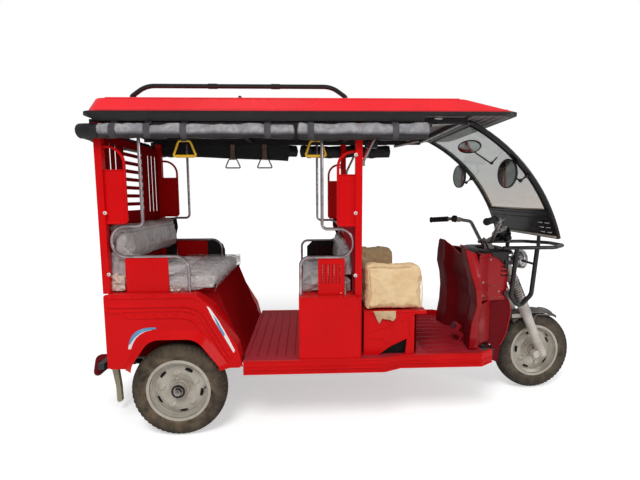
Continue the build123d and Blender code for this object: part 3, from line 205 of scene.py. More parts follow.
def film_wrapped_vinyl(name, colour, pale, film):
    """Vinyl under clear packing film: a soft grey with milky patches and sharp creases that catch light."""
    material, tree, shader, place = start_material(name, {
        "IOR": 1.5, "Coat Weight": film, "Coat Roughness": 0.08})
    cloud = cloudy(tree, place, 95, 5.0, Roughness=0.6, Distortion=0.6)
    milky = spread(tree, cloud, 0.38, 0.68)
    crease = add_node(tree, "ShaderNodeTexVoronoi", {"Vector": place, "Scale": per_mm(70),
                                                     "Randomness": 1.0}, feature="DISTANCE_TO_EDGE")
    fold = relief(tree, spread(tree, crease.outputs["Distance"], 0.0, 0.06), 0.35, 2.5)
    fine = cloudy(tree, place, 22, 4.0, Distortion=1.4)
    fill(tree, shader, {"Base Color": mixed(tree, milky, linear(colour), linear(pale)),
                        "Roughness": spread(tree, cloud, 0.35, 0.7, 0.28, 0.5),
                        "Normal": relief(tree, fine, 0.4, 2.2, Normal=fold)})
    return material


def clear_glass(name, colour, alpha, roughness=0.03, lower=None, split_z=(1.2, 1.4)):
    """Tinted sheet glass: pale green-grey with paler painted streaks of reflection, a painted warm
    reflection near its lower edge where a lower colour is given, and sharp reflections.
    """
    material, tree, shader, place = start_material(name, {
        "IOR": 1.45, "Roughness": roughness, "Alpha": alpha})
    dust_smear_and_painted_streak = spread(tree, cloudy(tree, place, 140, 3.0), 0.4, 0.6)
    tint_and_painted_streaks = mixed(tree, dust_smear_and_painted_streak, linear(colour), colour_of(colour, 1.3))
    height = spread(tree, height_of(tree, place), *split_z)
    fill(tree, shader, {"Base Color": mixed(tree, height, linear(lower or colour), tint_and_painted_streaks)})
    return material


def two_tone_cloth(name, upper, lower, split_z, pale):
    """Coated curtain cloth: grey above a wandering line at a given height and black below it."""
    material, tree, shader, place = start_material(name, {"Roughness": 0.42, "Sheen Weight": 0.1})
    drift = cloudy(tree, place, 150, 3.0)
    edge = maths(tree, "MULTIPLY_ADD", drift, 16 * MM, height_of(tree, place))
    above = spread(tree, edge, split_z + 3 * MM, split_z + 20 * MM)
    rubbed = cloudy(tree, place, 40, 6.0, Roughness=0.65, Distortion=0.8)
    light = mixed(tree, spread(tree, rubbed, 0.4, 0.68), linear(upper), linear(pale))
    fill(tree, shader, {"Base Color": mixed(tree, above, linear(lower), light),
                        "Normal": relief(tree, rubbed, 0.45, 2.0)})
    return material


def packing_film(name, colour, alpha):
    """Clear packing film: mostly seen through, milky along its creases, with sharp bright glints."""
    material, tree, shader, place = start_material(name, {
        "Base Color": linear(colour), "Roughness": 0.12, "IOR": 1.45})
    crease = cloudy(tree, place, 38, 6.0, Roughness=0.6, Distortion=2.2)
    fill(tree, shader, {"Alpha": spread(tree, crease, 0.46, 0.62, alpha, 0.62),
                        "Normal": relief(tree, crease, 0.8, 5)})
    return material


def worn_rubber(name, colour, dust, centre, tread_radius):
    """Tyre rubber: dark at the tread, with brown road dust in patches, thickest on the sidewalls."""
    material, tree, shader, place = start_material(name, {"Roughness": 0.82, "Specular IOR Level": 0.3})
    away = add_node(tree, "ShaderNodeVectorMath", {0: place, 1: centre}, operation="DISTANCE")
    dust_smear_and_painted_streak = spread(tree, cloudy(tree, place, 55, 6.0, Roughness=0.62), 0.3, 0.68)
    inner = spread(tree, away.outputs["Value"], tread_radius * 0.72, tread_radius * 0.97, 0.9, 0.25)
    cover = maths(tree, "MULTIPLY", inner, dust_smear_and_painted_streak)
    fill(tree, shader, {"Base Color": mixed(tree, cover, linear(colour), linear(dust)),
                        "Normal": relief(tree, cloudy(tree, place, 2.2, 3.0), 0.5, 0.4)})
    return material


# Reds: one deep sprayed or moulded red, glossiest on the roof, dullest inside and dustiest below, and
# darkened as painted shade on inner, under and cabin faces.
BODY_RED = sprayed_enamel("body_red_enamel", "#CE0C10", "#A8504A", coat=0.07)
ROOF_RED = sprayed_enamel("roof_gelcoat_red", "#E81F29", "#E08A86", roughness=0.24, coat=0.5)
# Maroon: the body red darkened as painted shade, for the legshield's inner face, the splash panel, the
# bumper and the far side plates and ribs.
MAROON_PAINTED_SHADE = sprayed_enamel("body_red_maroon_painted_shade", "#6A1218", "#5A2628", roughness=0.38, coat=0.04, dust=0.1)
COWL_RED = sprayed_enamel("cowl_red_enamel", "#9C141A", "#A8504A", coat=0.2)
FLOOR_RED = sprayed_enamel("floor_red_enamel", "#A01C26", "#A04450", roughness=0.4, coat=0.04, dust=0.4)
# Cabin red: the body red darkened as painted shade, for the rear seat box and rear wall inside the cabin.
CABIN_RED_PAINTED_SHADE = sprayed_enamel("cabin_red_painted_shade_enamel", "#8A1013", "#6E3434", roughness=0.4, coat=0.0, dust=0.04)

# Blacks: satin paint on tubes, grained plastic on trim and linings, and a matt black that paints shade in
# slots, vents and hollows and also prints the dial's marks.
FRAME_BLACK = moulded("chassis_black_paint", "#17161A", "#2C2A2C", 0.34, 2.0, 0.1, coat=0.2)
GUARD_BLACK = moulded("tube_black_powder_coat", "#0F0E11", "#232021", 0.26, 1.6, 0.1, coat=0.3)
LIP_BLACK = moulded("roof_edge_black_plastic", "#161417", "#292627", 0.42, 3.0, 0.2)
LINING_BLACK = moulded("roof_lining_black", "#141214", "#221E20", 0.7, 3.0, 0.2)
LINING_PALE = moulded("roof_lining_raw_fibreglass", "#6E6566", "#8E8685", 0.55, 6.0, 0.6)
TRIM_BLACK = moulded("trim_black_abs", "#0C0B0D", "#1C1A1B", 0.3, 1.2, 0.12, coat=0.1)
# Matt black: painted shade in openings, and the dial's printed marks.
SLOT_BLACK = moulded("matt_black_painted_shade_and_print", "#060606", "#0E0C0C", 0.8, 3.0, 0.1)
GRIP_RUBBER = moulded("grip_rubber", "#111012", "#262324", 0.6, 1.5, 0.2)

# Metals: warm silver paint, dull alloy, and chrome that mirrors the floor and the lamps.
WHEEL_SILVER = moulded("wheel_silver_paint", "#BDB6A9", "#A1978A", 0.34, 1.6, 0.08, coat=0.2, metallic=0.35)
FORK_SILVER = moulded("fork_cast_alloy", "#D2CBC3", "#A79D95", 0.36, 2.2, 0.12, metallic=0.3)
BAR_CHROME = bright_metal("handlebar_dull_chrome", "#C9C8C9", "#8E8A8A", 0.38)
GUARD_GREY = moulded("mudguard_dusty_black", "#5A5855", "#7F7B75", 0.6, 2.0, 0.3)
TUBE_CHROME = bright_metal("seat_tube_polished_steel", "#C9BFC2", "#A1969A", 0.2)
LAMP_CHROME = bright_metal("lamp_chrome", "#D6D6D6", "#B8B8B8", 0.08)
SPRING_STEEL = bright_metal("spring_zinc_plate", "#B9B4B0", "#8A8480", 0.25)
AXLE_IRON = moulded("axle_cast_iron_paint", "#1C1B1E", "#332F2D", 0.55, 3.5, 0.35, metallic=0.3)

# Seat covers, wrapping and scraps: milky film over grey vinyl, with sharp bright creases.
SEAT_PALE = film_wrapped_vinyl("seat_vinyl_under_pale_film", "#D0C7C8", "#ECE6E6", 0.6)
SCRAP_PALE = moulded("wrapping_paper_scrap", "#C9B3A6", "#E2D4CA", 0.6, 4.0, 0.4)
SLEEVE_PALE = moulded("stand_worn_sleeve", "#A39A82", "#C4BBA4", 0.5, 4.0, 0.3)
SEAT_GREY = film_wrapped_vinyl("seat_grey_vinyl_under_film", "#948A8A", "#BDB4B3", 0.6)

# Cloths: coated curtains with rubbed folds, ribbed webbing, crumpled tan wrap, and film seen through.
CURTAIN_GREY = two_tone_cloth("curtain_grey_coated_cloth", "#807E82", "#19171A", 1.498, "#A9A7A8")
CURTAIN_BLACK = woven_cloth("curtain_black_coated_cloth", "#131214", "#242225", 2.5, roughness=0.55,
                            sheen=0.0)
STRAP_BLACK = woven_cloth("strap_dark_webbing", "#3A383B", "#555356", 1.4, roughness=0.7, sheen=0.1)
WEBBING_BROWN = woven_cloth("grip_brown_webbing", "#6E5546", "#8A7262", 1.6, roughness=0.85, sheen=0.1)
KRAFT_WRAP = woven_cloth("driver_seat_tan_wrap", "#DDBB8C", "#E8CDA2", 3.0, roughness=0.7, sheen=0.1)
# A darker copy of the tan wrap: painted shade on the bench's sunken middle pad and on the tail hanging down
# the box side.
TAN_WRAP_PAINTED_SHADE = woven_cloth("driver_bench_tan_wrap_painted_shade", "#B5926F", "#D2B48C", 3.0, roughness=0.7, sheen=0.1)
FILM = packing_film("clear_packing_film", "#C9C2C1", 0.16)

# Small plastics and stripes: clean bright colours with a soft gloss.
GRIP_YELLOW = moulded("grip_yellow_plastic", "#E3AE13", "#F2C93C", 0.34, 2.0, 0.08, coat=0.2)
GRIP_WIRE = moulded("grip_wire_dulled_steel", "#857871", "#A89C94", 0.4, 2.0, 0.06, metallic=0.4)
# Also used as painted highlights along the windscreen panel's vents.
NYLON_AND_HIGHLIGHT_WHITE = moulded("grommet_nylon_and_vent_painted_highlight", "#D9D3CE", "#F0ECE8", 0.45, 2.0, 0.1)
STRIPE_WHITE = moulded("stripe_white_vinyl", "#E6DEDC", "#F4F0EE", 0.3, 2.0, 0.02, coat=0.3)
STRIPE_BLUE = moulded("stripe_blue_vinyl", "#4C8AB8", "#6FA6CC", 0.3, 2.0, 0.02, coat=0.3)

# Glass and lenses: tinted with painted streaks of reflection and mirror-like, or deep and glossy.
# The windscreen's warm lower colour is a painted reflection, and its paler streaks are painted reflections
# too.
SCREEN_GLASS = clear_glass("windscreen_glass_painted_reflection", "#93A29A", 0.44, lower="#D8C3A4", split_z=(1.17, 1.36))
LAMP_GLASS = clear_glass("headlamp_lens_glass", "#B7C9BE", 0.5)
MIRROR_GLASS = bright_metal("mirror_silvered_glass", "#9AA39F", "#8A928E", 0.03, scratch_mm=20)
LENS_RED = moulded("tail_lens_red", "#9C0E12", "#C0282A", 0.16, 5.0, 0.4, coat=0.6)
LENS_AMBER = moulded("indicator_lens_amber", "#C8640E", "#E08A2A", 0.16, 5.0, 0.4, coat=0.6)

# Dial, terminals, cables and battery.
DIAL_WHITE = moulded("dial_face_pale", "#B9B6B2", "#CFCCC8", 0.4, 3.0, 0.02)
COPPER_BRASS = bright_metal("terminal_brass", "#B89A52", "#8A6C34", 0.3)
CABLE_BLACK = moulded("cable_black_sheath", "#0D0C0E", "#1C1A1B", 0.5, 1.0, 0.05)
BATTERY_BLACK = moulded("battery_case", "#1C1C20", "#303034", 0.5, 2.0, 0.2)

hubs = {place: centre_of(f"{place}_tyre") for place in ("front", "rear_left", "rear_right")}
TYRE_RUBBER = {place: worn_rubber(f"{place}_tyre_rubber", "#2E2924", "#6E6355" if place == "front"
                                  else "#7C6B56",
                                  hub, TYRE_RADIUS)
               for place, hub in hubs.items()}

NODES_OF_FINISH = [
    (BODY_RED, "side_sills", "rear_fender_right", "rear_fender_left", "rear_posts", "mid_posts",
     "arm_panels",
     "mid_seat_box", "driver_seat_box"),
    (MAROON_PAINTED_SHADE, "rear_bumper", "legshield", "splash_panel"),
    (CABIN_RED_PAINTED_SHADE, "rear_seat_box", "rear_wall"),
    (FLOOR_RED, "floor_pan", "driver_floor"),
    (COWL_RED, "front_apron"),
    (ROOF_RED, "roof_shell"),
    (FRAME_BLACK, "chassis_frame"),
    (BATTERY_BLACK, "battery_pack"),
    (GUARD_BLACK, "roof_rack", "front_guard"),
    (LIP_BLACK, "roof_lip"),
    (LINING_BLACK, "roof_frame"),
    (TRIM_BLACK, "windscreen_frame", "mirrors", "instrument_pod"),
    (GRIP_RUBBER, "bar_grips"),
    (GUARD_GREY, "front_mudguard"),
    (AXLE_IRON, "rear_axle", "leaf_springs"),
    (WHEEL_SILVER, "front_rim", "rear_left_rim", "rear_right_rim"),
    (FORK_SILVER, "fork"),
    (TUBE_CHROME, "seat_rails"),
    (BAR_CHROME, "handlebar"),
    (LAMP_CHROME, "headlamp"),
    (SEAT_GREY, "rear_seat_cushion", "rear_seat_back", "mid_seat_cushion", "mid_seat_back"),
    (KRAFT_WRAP, "driver_seat_cushion"),
    (CURTAIN_GREY, "curtain_rolls"),
    (GRIP_YELLOW, "hand_grips"),
    (SCREEN_GLASS, "windscreen_glass"),
    (LENS_RED, "tail_lamps"),
    *[(rubber, f"{place}_tyre") for place, rubber in TYRE_RUBBER.items()],
]
for material, *nodes in NODES_OF_FINISH:
    for node in nodes:
        mesh = node_of[node].data
        mesh.materials.clear()
        mesh.materials.append(material)

# ---- shape helpers -------------------------------------------------------------------------
# Places are in metres, mostly from at(); sections, profiles, radii and reaches are in millimetres.


def add_piece(name, shape, material, body="chassis", sharp=35):
    """New piece from (points, faces) that rides on a body; corners over sharp degrees stay sharp."""
    points, faces = shape
    mesh = bpy.data.meshes.new(name)
    mesh.from_pydata([tuple(point) for point in points], [], faces)
    mesh.materials.append(material)
    mesh.polygons.foreach_set("use_smooth", [True] * len(mesh.polygons))
    outward = bmesh.new()
    outward.from_mesh(mesh)
    bmesh.ops.recalc_face_normals(outward, faces=outward.faces)
    outward.to_mesh(mesh)
    outward.free()
    mesh.set_sharp_from_angle(angle=radians(sharp))
    piece = bpy.data.objects.new(name, mesh)
    bpy.context.scene.collection.objects.link(piece)
    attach(piece, body)
    return piece


def merged(shapes):
    """One (points, faces) pair from several."""
    points, faces = [], []
    for more_points, more_faces in shapes:
        start = len(points)
        points += more_points
        faces += [tuple(start + index for index in face) for face in more_faces]
    return points, faces


def moved(shape, matrix):
    """The shape with its points put through a matrix."""
    points, faces = shape
    return [matrix @ Vector(point) for point in points], faces


def rounded(points, reach, steps=6):
    """Route through points whose corners are rounded, each starting to bend reach before it."""
    points = [Vector(point) for point in points]
    route = [points[0]]
    for before, corner, after in zip(points, points[1:], points[2:]):
        near = min(reach * MM, (before - corner).length * 0.49, (after - corner).length * 0.49)
        start = corner + (before - corner).normalized() * near
        end = corner + (after - corner).normalized() * near
        for step in range(steps + 1):
            part = step / steps
            route.append(start.lerp(corner, part).lerp(corner.lerp(end, part), part))
    return route + [points[-1]]


def ring(radius, sides=12, squash=1.0):
    """Round section for swept(), flattened by squash."""
    return [(radius * cos(tau * side / sides), radius * squash * sin(tau * side / sides))
            for side in range(sides)]


def swept(route, section, closed=False, swell=None, up=Vector((0, 0, 1))):
    """Section of (across, up) offsets carried along a route; swell(part) scales it on the way."""
    route = [Vector(spot) for spot in route]
    count, sides = len(route), len(section)
    points = []
    for index, spot in enumerate(route):
        before = route[index - 1] if closed or index else spot
        after = route[(index + 1) % count] if closed or index < count - 1 else spot
        ahead = (after - before).normalized()
        across = ahead.cross(up)
        across = across.normalized() if across.length > 0.05 else ahead.orthogonal().normalized()
        if index and across.dot(last_across) < 0:
            across = -across
        last_across = across
        rise = across.cross(ahead)
        gain = MM * swell(index / (count - 1)) if swell else MM
        points += [spot + across * (a * gain) + rise * (b * gain) for a, b in section]
    spans = count if closed else count - 1
    faces = [(span * sides + side, span * sides + (side + 1) % sides,
              (span + 1) % count * sides + (side + 1) % sides, (span + 1) % count * sides + side)
             for span in range(spans) for side in range(sides)]
    if not closed:
        faces += [tuple(range(sides))[::-1], tuple(range((count - 1) * sides, count * sides))]
    return points, faces


def tube(points, radius, reach=0, sides=12, closed=False, swell=None):
    """Round tube along points, its corners bent over reach."""
    route = rounded(points, reach) if reach else points
    return swept(route, ring(radius, sides), closed=closed, swell=swell)


def turned(profile, centre, axis, segments=40, sides_closed=False):
    """Profile of (along, radius) pairs turned about an axis through centre."""
    axis = Vector(axis).normalized()
    side = axis.cross(Vector((0, 0, 1)))
    side = side.normalized() if side.length > 0.1 else Vector((1, 0, 0))
    up = side.cross(axis)
    count = len(profile)
    points = []
    for turn in range(segments):
        away = side * cos(tau * turn / segments) + up * sin(tau * turn / segments)
        points += [Vector(centre) + axis * (along * MM) + away * (radius * MM) for along, radius in profile]
    last = count if sides_closed else count - 1
    faces = [(turn * count + step, turn * count + (step + 1) % count,
              (turn + 1) % segments * count + (step + 1) % count, (turn + 1) % segments * count + step)
             for turn in range(segments) for step in range(last)]
    if not sides_closed:
        faces += [tuple(turn * count for turn in range(segments)),
                  tuple(turn * count + count - 1 for turn in range(segments))[::-1]]
    return points, faces


def grid(place, across, along, closed=False):
    """Surface of place(u, v), u and v from 0 to 1, joined up across where closed."""
    columns = across if closed else across + 1
    points = [place(column / across, row / along) for row in range(along + 1) for column in range(columns)]
    faces = [(row * columns + column, row * columns + (column + 1) % columns,
              (row + 1) * columns + (column + 1) % columns, (row + 1) * columns + column)
             for row in range(along) for column in range(across)]
    return points, faces


def closed_ends(shape, sides):
    """A closed grid with its first and last rounds of sides points filled in."""
    points, faces = shape
    return points, faces + [tuple(range(sides)), tuple(range(len(points) - sides, len(points)))[::-1]]


def plate(outline, place, thickness):
    """Flat plate: outline points put into space by place(u, v, depth), with depth 0 and thickness."""
    count = len(outline)
    points = [place(u, v, depth) for depth in (0, thickness) for u, v in outline]
    faces = [tuple(range(count))[::-1], tuple(range(count, 2 * count))]
    faces += [(step, (step + 1) % count, count + (step + 1) % count, count + step) for step in range(count)]
    return points, faces


def box_shape(low, high):
    """Box between two corners given in millimetres from the rear axle and the ground."""
    corners = [at(x, y, z) for z in (low[2], high[2]) for y in (low[1], high[1]) for x in (low[0], high[0])]
    return corners, [(0, 2, 3, 1), (4, 5, 7, 6), (0, 1, 5, 4), (2, 6, 7, 3), (0, 4, 6, 2), (1, 3, 7, 5)]


def ripple(*waves):
    """Smooth pseudo-random wave of one number, from (length, height, start) triples."""
    return lambda value: sum(height * sin(tau * value / length + start) for length, height, start in waves)


REST_ANGLE = 6  # degrees about the stem by which the front wheel stands turned to the left at rest
joints = {joint["name"]: joint for joint in frame["joints"]}
HEAD = Vector(joints["steering_head"]["pos_m"])
HEAD_AXIS = Vector(joints["steering_head"]["axis"]).normalized()
STEM_TURN = Matrix.Rotation(radians(REST_ANGLE), 4, HEAD_AXIS)
REST_TURN = Matrix.Translation(HEAD) @ STEM_TURN @ Matrix.Translation(-HEAD)
AHEAD = Vector((HEAD_AXIS.z, 0, -HEAD_AXIS.x))  # square to the steering axis, straight ahead
FRONT_AXLE = at(2064, 0, 238)
AXIS_FOOT = HEAD - HEAD_AXIS * ((HEAD.z - FRONT_AXLE.z) / HEAD_AXIS.z)


def on_fork(height, ahead, side):
    """Point in metres from millimetres up the steering axis, ahead of it and to the left."""
    return AXIS_FOOT + HEAD_AXIS * (height * MM) + AHEAD * (ahead * MM) + Vector((0, side * MM, 0))


# ---- wheels --------------------------------------------------------------------------------

# Body of each wheel, place of its middle, side that faces out and angle in degrees of its first slot
WHEELS = {"front": ("front_wheel", REST_TURN @ Matrix.Translation(FRONT_AXLE), -1, 31),
          "rear_left": ("rear_wheel_left", Matrix.Translation(hubs["rear_left"]), 1, -9),
          "rear_right": ("rear_wheel_right", Matrix.Translation(hubs["rear_right"]), -1, -9)}
TREAD_PITCHES = 54
# Half profiles of a tyre: (half width, radius)
sidewall = [(34.5, 151), (36, 158), (40, 166), (43, 174), (45.6, 184), (46, 195), (45.4, 203), (45.9, 205),
            (44.9, 207), (43.6, 214), (42, 219)]
crown = [(39, 224), (36, 228), (32, 231.5), (28, 233.5), (24, 235), (20, 236), (16, 236.8), (12, 237.4),
         (8, 237.7), (4, 237.9), (0, 238)]


def tread_depth(turn, across):
    """Depth in mm of the tread pattern at a turn (0 to 1) and a distance across the crown."""
    if abs(across) > 41:
        return 0.0
    pitch = turn * TREAD_PITCHES
    zigzag = 3.2 * (4 * abs(pitch % 1 - 0.5) - 1)
    if abs(abs(across) - 14 - zigzag) < 2.4:
        return 6.0
    slant = (pitch + abs(across) / 55 + (0.5 if across > 0 else 0)) % 1
    return 5.0 if abs(across) > 21 and slant < 0.34 else 0.0


def make_tyre(place, body, matrix):
    """Tyre with a zigzag block tread, shoulder lugs and a moulded ring on each sidewall."""
    half = sidewall + crown
    profile = [(-w, r) for w, r in half] + [(w, r) for w, r in half[-2::-1]]
    around = TREAD_PITCHES * 6

    def spot(turn, across):
        w, r = profile[round(across * (len(profile) - 1))]
        radius = (r - tread_depth(turn, w)) * MM
        return matrix @ Vector((radius * cos(tau * turn), w * MM, radius * sin(tau * turn)))
    points, faces = grid(lambda across, turn: spot(turn, across), len(profile) - 1, around)
    tyre = add_piece(f"{place}_tyre_tread", (points, faces), TYRE_RUBBER[place], body, sharp=50)
    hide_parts(f"{place}_tyre")


def disc_face(radius):
    """Distance in mm of the rim disc's outer face from the wheel's middle plane."""
    return 10.5 + 14 * max(0.0, 1 - abs(radius - 88) / 42)


def polar(radius, angle, out):
    """Point of a wheel built around the origin, its axle along Y, in metres."""
    return Vector((radius * cos(angle) * MM, out * MM, radius * sin(angle) * MM))


SLOT_RADIUS, LOOP_POINTS = 112, 28


def slot_loop(middle, half_long, half_tall, outward, lift):
    """Closed loop round a slot of the rim disc, lift millimetres above its face."""
    loop = []
    for turn in range(LOOP_POINTS):
        angle = tau * turn / LOOP_POINTS
        along = half_long * max(-1, min(1, 1.35 * cos(angle)))
        radius = SLOT_RADIUS + half_tall * sin(angle)
        loop.append(polar(radius, middle + along / radius, outward * (disc_face(radius) + lift)))
    return loop


def make_rim_details(place, body, matrix, outward, first_slot):
    """Bosses, slot beads and rings pressed in the rim disc, hub ring, bolts, valve and the drum behind."""
    silver, dark, bright, slots = [], [], [], []
    for step in range(5):
        middle = radians(first_slot + 72 * step)
        edge = slot_loop(middle, 21, 9.5, outward, 0.2)
        silver.append(swept(edge, ring(2.6, 8), closed=True, up=LEFT))
        slots.append((slot_loop(middle, 20, 8.5, outward, 2.6), [tuple(range(LOOP_POINTS))]))
        boss_angle = middle + radians(36)

        def boss(u, v):
            reach, angle = 19 * v, tau * u
            radius = 90 + reach * 1.15 * cos(angle)
            height = 7.5 * (1 - v * v) ** 0.7 - 0.6
            return polar(radius, boss_angle + reach * sin(angle) / 88,
                         outward * (disc_face(radius) + height))
        silver.append(grid(boss, 22, 6, closed=True))
        bolt = polar(56, boss_angle, outward * 12)
        bright.append(turned([(0, 6.5), (5, 6.5), (7, 5), (7, 3.2), (12, 3)], bolt, (0, outward, 0),
                             segments=6))
    silver.append(turned([(9, 46), (16, 45), (19, 41), (17, 37)], (0, 0, 0), (0, outward, 0), segments=48))
    for radius, out in ((150, 35), (142, 29), (135, 15)):
        silver.append(tube([polar(radius, tau * turn / 64, outward * out) for turn in range(64)], 2.4,
                           closed=True, sides=8))
    if place != "front":
        dark.append(turned([(43, 34), (47, 33.6), (49, 31), (48, 25), (43, 25)], (0, 0, 0), (0, outward, 0),
                           segments=36, sides_closed=True))
    dark.append(turned([(4, 60), (3, 122), (-26, 124), (-32, 118), (-32, 62)], (0, 0, 0), (0, outward, 0),
                       segments=56))
    valve = [polar(132, radians(first_slot + 12), outward * 14),
             polar(126, radians(first_slot + 12), outward * 30)]
    dark.append(tube(valve, 3.6, sides=10))
    for name, shapes, material in (("rim_pressings", silver, WHEEL_SILVER),
                                   ("drum_and_hub_ring", dark, AXLE_IRON), ("hub_nuts", bright, FORK_SILVER),
                                   ("slot_shadows", slots, SLOT_BLACK)):
        add_piece(f"{place}_{name}", moved(merged(shapes), matrix), material, body)


nut_tips = []
for side, place in ((-1, "rear_right"), (1, "rear_left")):
    nut_tips.append(turned([(58.4, 19), (60, 18.6), (61, 16), (61, 11), (65, 10.5), (66.5, 8)], hubs[place],
                           (0, side, 0), segments=6))
add_piece("axle_nut_tips", merged(nut_tips), SPRING_STEEL)
for place, (body, matrix, outward, first_slot) in WHEELS.items():
    make_tyre(place, body, matrix)
    make_rim_details(place, body, matrix, outward, first_slot)

# ---- rolled rain curtains ------------------------------------------------------------------

ROLL_SIDES = 44


def rolled_cloth(name, start, end, y, z, half_depth, half_height, straps, crumpled, seed, material):
    """Rolled curtain: cinched at its straps, slack between them, with a loose edge and coiled ends."""
    sway = ripple((310, 2.0, seed), (127, 1.4, seed * 2.1), (61, 0.8, seed * 3.3))
    length = end - start
    rows = round(length / 7)

    def spot(u, v):
        angle = tau * u
        x = start + length * v
        cinch = sum(0.15 * 2.7 ** -(((x - strap) / 17) ** 2) for strap in straps)
        ridge = 0.035 * sin(3 * angle + x / 46 + seed) + 0.022 * sin(5 * angle - x / 27)
        near = max(0.0, 1 - abs(x - crumpled) / 190) if crumpled is not None else 0.0
        facet = 0.16 * near * (abs(sin(x / 23 + 2 * angle)) + abs(sin(x / 41 - 3 * angle + 1)) - 1.1)
        edge = 0.07 * ((u + 0.31 + 0.012 * sin(x / 60)) % 1)
        into_end = min(1.0, min(v, 1 - v) * length / 9)
        coil = 1.0 if into_end >= 1 else 0.15 + 0.85 * sqrt(into_end)
        gain = (0.95 - cinch + ridge + facet + edge) * coil
        droop = 3.5 * sin(pi * ((x - start) % 190) / 190)
        return at(x, y + half_depth * gain * cos(angle), z + half_height * gain * sin(angle) + sway(x)
                  - droop)
    return add_piece(name, closed_ends(grid(spot, ROLL_SIDES, rows, closed=True), ROLL_SIDES), material,
                     sharp=60)


ROLL_Y = 438.3
REAR_STRAPS, FRONT_STRAPS = (-249, -91, 77, 468), (672, 1076)


def strap_band(x, y, z, half_depth, half_height, hang_to):
    """Webbing strap round a roll, with its tail going up to the roof frame."""
    side = -1 if y < 0 else 1
    points, faces = [], []
    for turn in range(40):
        angle = tau * turn / 40
        spot = at(x, y + (half_depth * 0.93 + 2) * cos(angle), z + (half_height * 0.93 + 2) * sin(angle))
        away = (spot - at(x, y, z)).normalized()
        points += [spot + Vector((a * MM, 0, 0)) + away * (b * MM)
                   for a, b in ((-15, -1.3), (15, -1.3), (15, 1.3), (-15, 1.3))]
        faces += [(turn * 4 + k, turn * 4 + (k + 1) % 4, (turn + 1) % 40 * 4 + (k + 1) % 4,
                   (turn + 1) % 40 * 4 + k)
                  for k in range(4)]
    foot = z + half_height * 0.9

    def tail_spot(u, v, depth):
        return at(x + u, y - side * (8 + depth), foot + v * (hang_to - foot))
    return merged([(points, faces), plate([(-15, 0), (15, 0), (15, 1), (-15, 1)], tail_spot, 2.4)])


rear_roll = rolled_cloth("curtain_roll_right_rear", -331, 596, -ROLL_Y, 1513, 26, 34, REAR_STRAPS, -250, 0.4,
                         CURTAIN_GREY)
rolled_cloth("curtain_roll_right_front", 608, 1243, -ROLL_Y, 1511, 26, 40, FRONT_STRAPS, None, 1.9,
             CURTAIN_GREY)
rolled_cloth("curtain_roll_left_rear", -331, 596, ROLL_Y, 1517, 26, 39, REAR_STRAPS, None, 2.7,
             CURTAIN_BLACK)
rolled_cloth("curtain_roll_left_front", 608, 1243, ROLL_Y, 1515, 26, 42, FRONT_STRAPS, None, 0.9,
             CURTAIN_BLACK)
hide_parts("curtain_rolls")
bands = [strap_band(x, side * ROLL_Y, z, 27, tall, 1572)
         for side in (-1, 1) for straps, z, tall in ((REAR_STRAPS, 1513, 34), (FRONT_STRAPS, 1511, 40))
         for x in straps]
add_piece("curtain_straps", merged(bands), STRAP_BLACK, sharp=25)


REAR_ROLL_X, REAR_ROLL_Z = -399.3, 1514


def cross_roll(u, v):
    """Curtain roll across the back, hanging behind the rear posts."""
    angle = tau * u
    y = -402 + 804 * v
    into_end = min(1.0, min(v, 1 - v) * 804 / 10)
    coil = 1.0 if into_end >= 1 else 0.15 + 0.85 * sqrt(into_end)
    gain = (0.93 + 0.04 * sin(3 * angle + y / 50) + 0.06 * ((u + 0.3) % 1)) * coil
    return at(REAR_ROLL_X + 37 * gain * cos(angle), y, REAR_ROLL_Z + 37 * gain * sin(angle))


rear_roll_shape = closed_ends(grid(cross_roll, ROLL_SIDES, 110, closed=True), ROLL_SIDES)
add_piece("curtain_roll_rear", rear_roll_shape, CURTAIN_BLACK, sharp=60)
rear_bands = []
for y in (-300, 0, 300):
    loop = [at(REAR_ROLL_X + 38 * cos(tau * turn / 36), y, REAR_ROLL_Z + 38 * sin(tau * turn / 36))
            for turn in range(36)]
    rear_bands.append(swept(loop, [(-2, -14), (1, -14), (1, 14), (-2, 14)], closed=True,
                            up=LEFT))
add_piece("rear_curtain_straps", merged(rear_bands), STRAP_BLACK, sharp=25)

# ---- hand grips ----------------------------------------------------------------------------


def closed_route(corners, reach):
    """Closed route through corners, each rounded over reach."""
    corners = [Vector(corner) for corner in corners]
    start = (corners[-1] + corners[0]) / 2
    return rounded([start, *corners, start], reach, 5)[:-1]


def grip_frame(x, side, width, height, thick, squash):
    """Trapezoid hand grip hanging under the roof, seen from the side."""
    y, low, top = side * 378, 1396 + thick / 2, 1396 + height - thick / 2
    half = width / 2 - thick / 2
    route = closed_route([at(x - half, y, low), at(x + half, y, low), at(x + half * 0.5, y, top),
                          at(x - half * 0.5, y, top)], 12)
    return swept(route, ring(thick / 2, 12, squash), closed=True, up=LEFT)


def webbing(x, side, width, low, high):
    """Flat webbing strap folded over the grip's top bar and stitched, up to the roof frame."""
    y = side * 380
    strip = [(-width / 2, low), (width / 2, low), (width / 2, high), (-width / 2, high)]
    strap = plate(strip, lambda u, v, depth: at(x + u, y - 1.5 + depth, v), 3)
    fold = plate([(-width / 2, low - 2), (width / 2, low - 2), (width / 2, low + 30),
                  (-width / 2, low + 30)], lambda u, v, depth: at(x + u, y - 5 + depth, v), 3.4)
    stitches = [tube([at(end, y - 5.6, low + rise) for end in (x - width / 2 + 4, x + width / 2 - 4)], 0.7,
                     sides=6)
                for rise in (14, 20, 26)]
    return merged([strap, fold] + stitches)


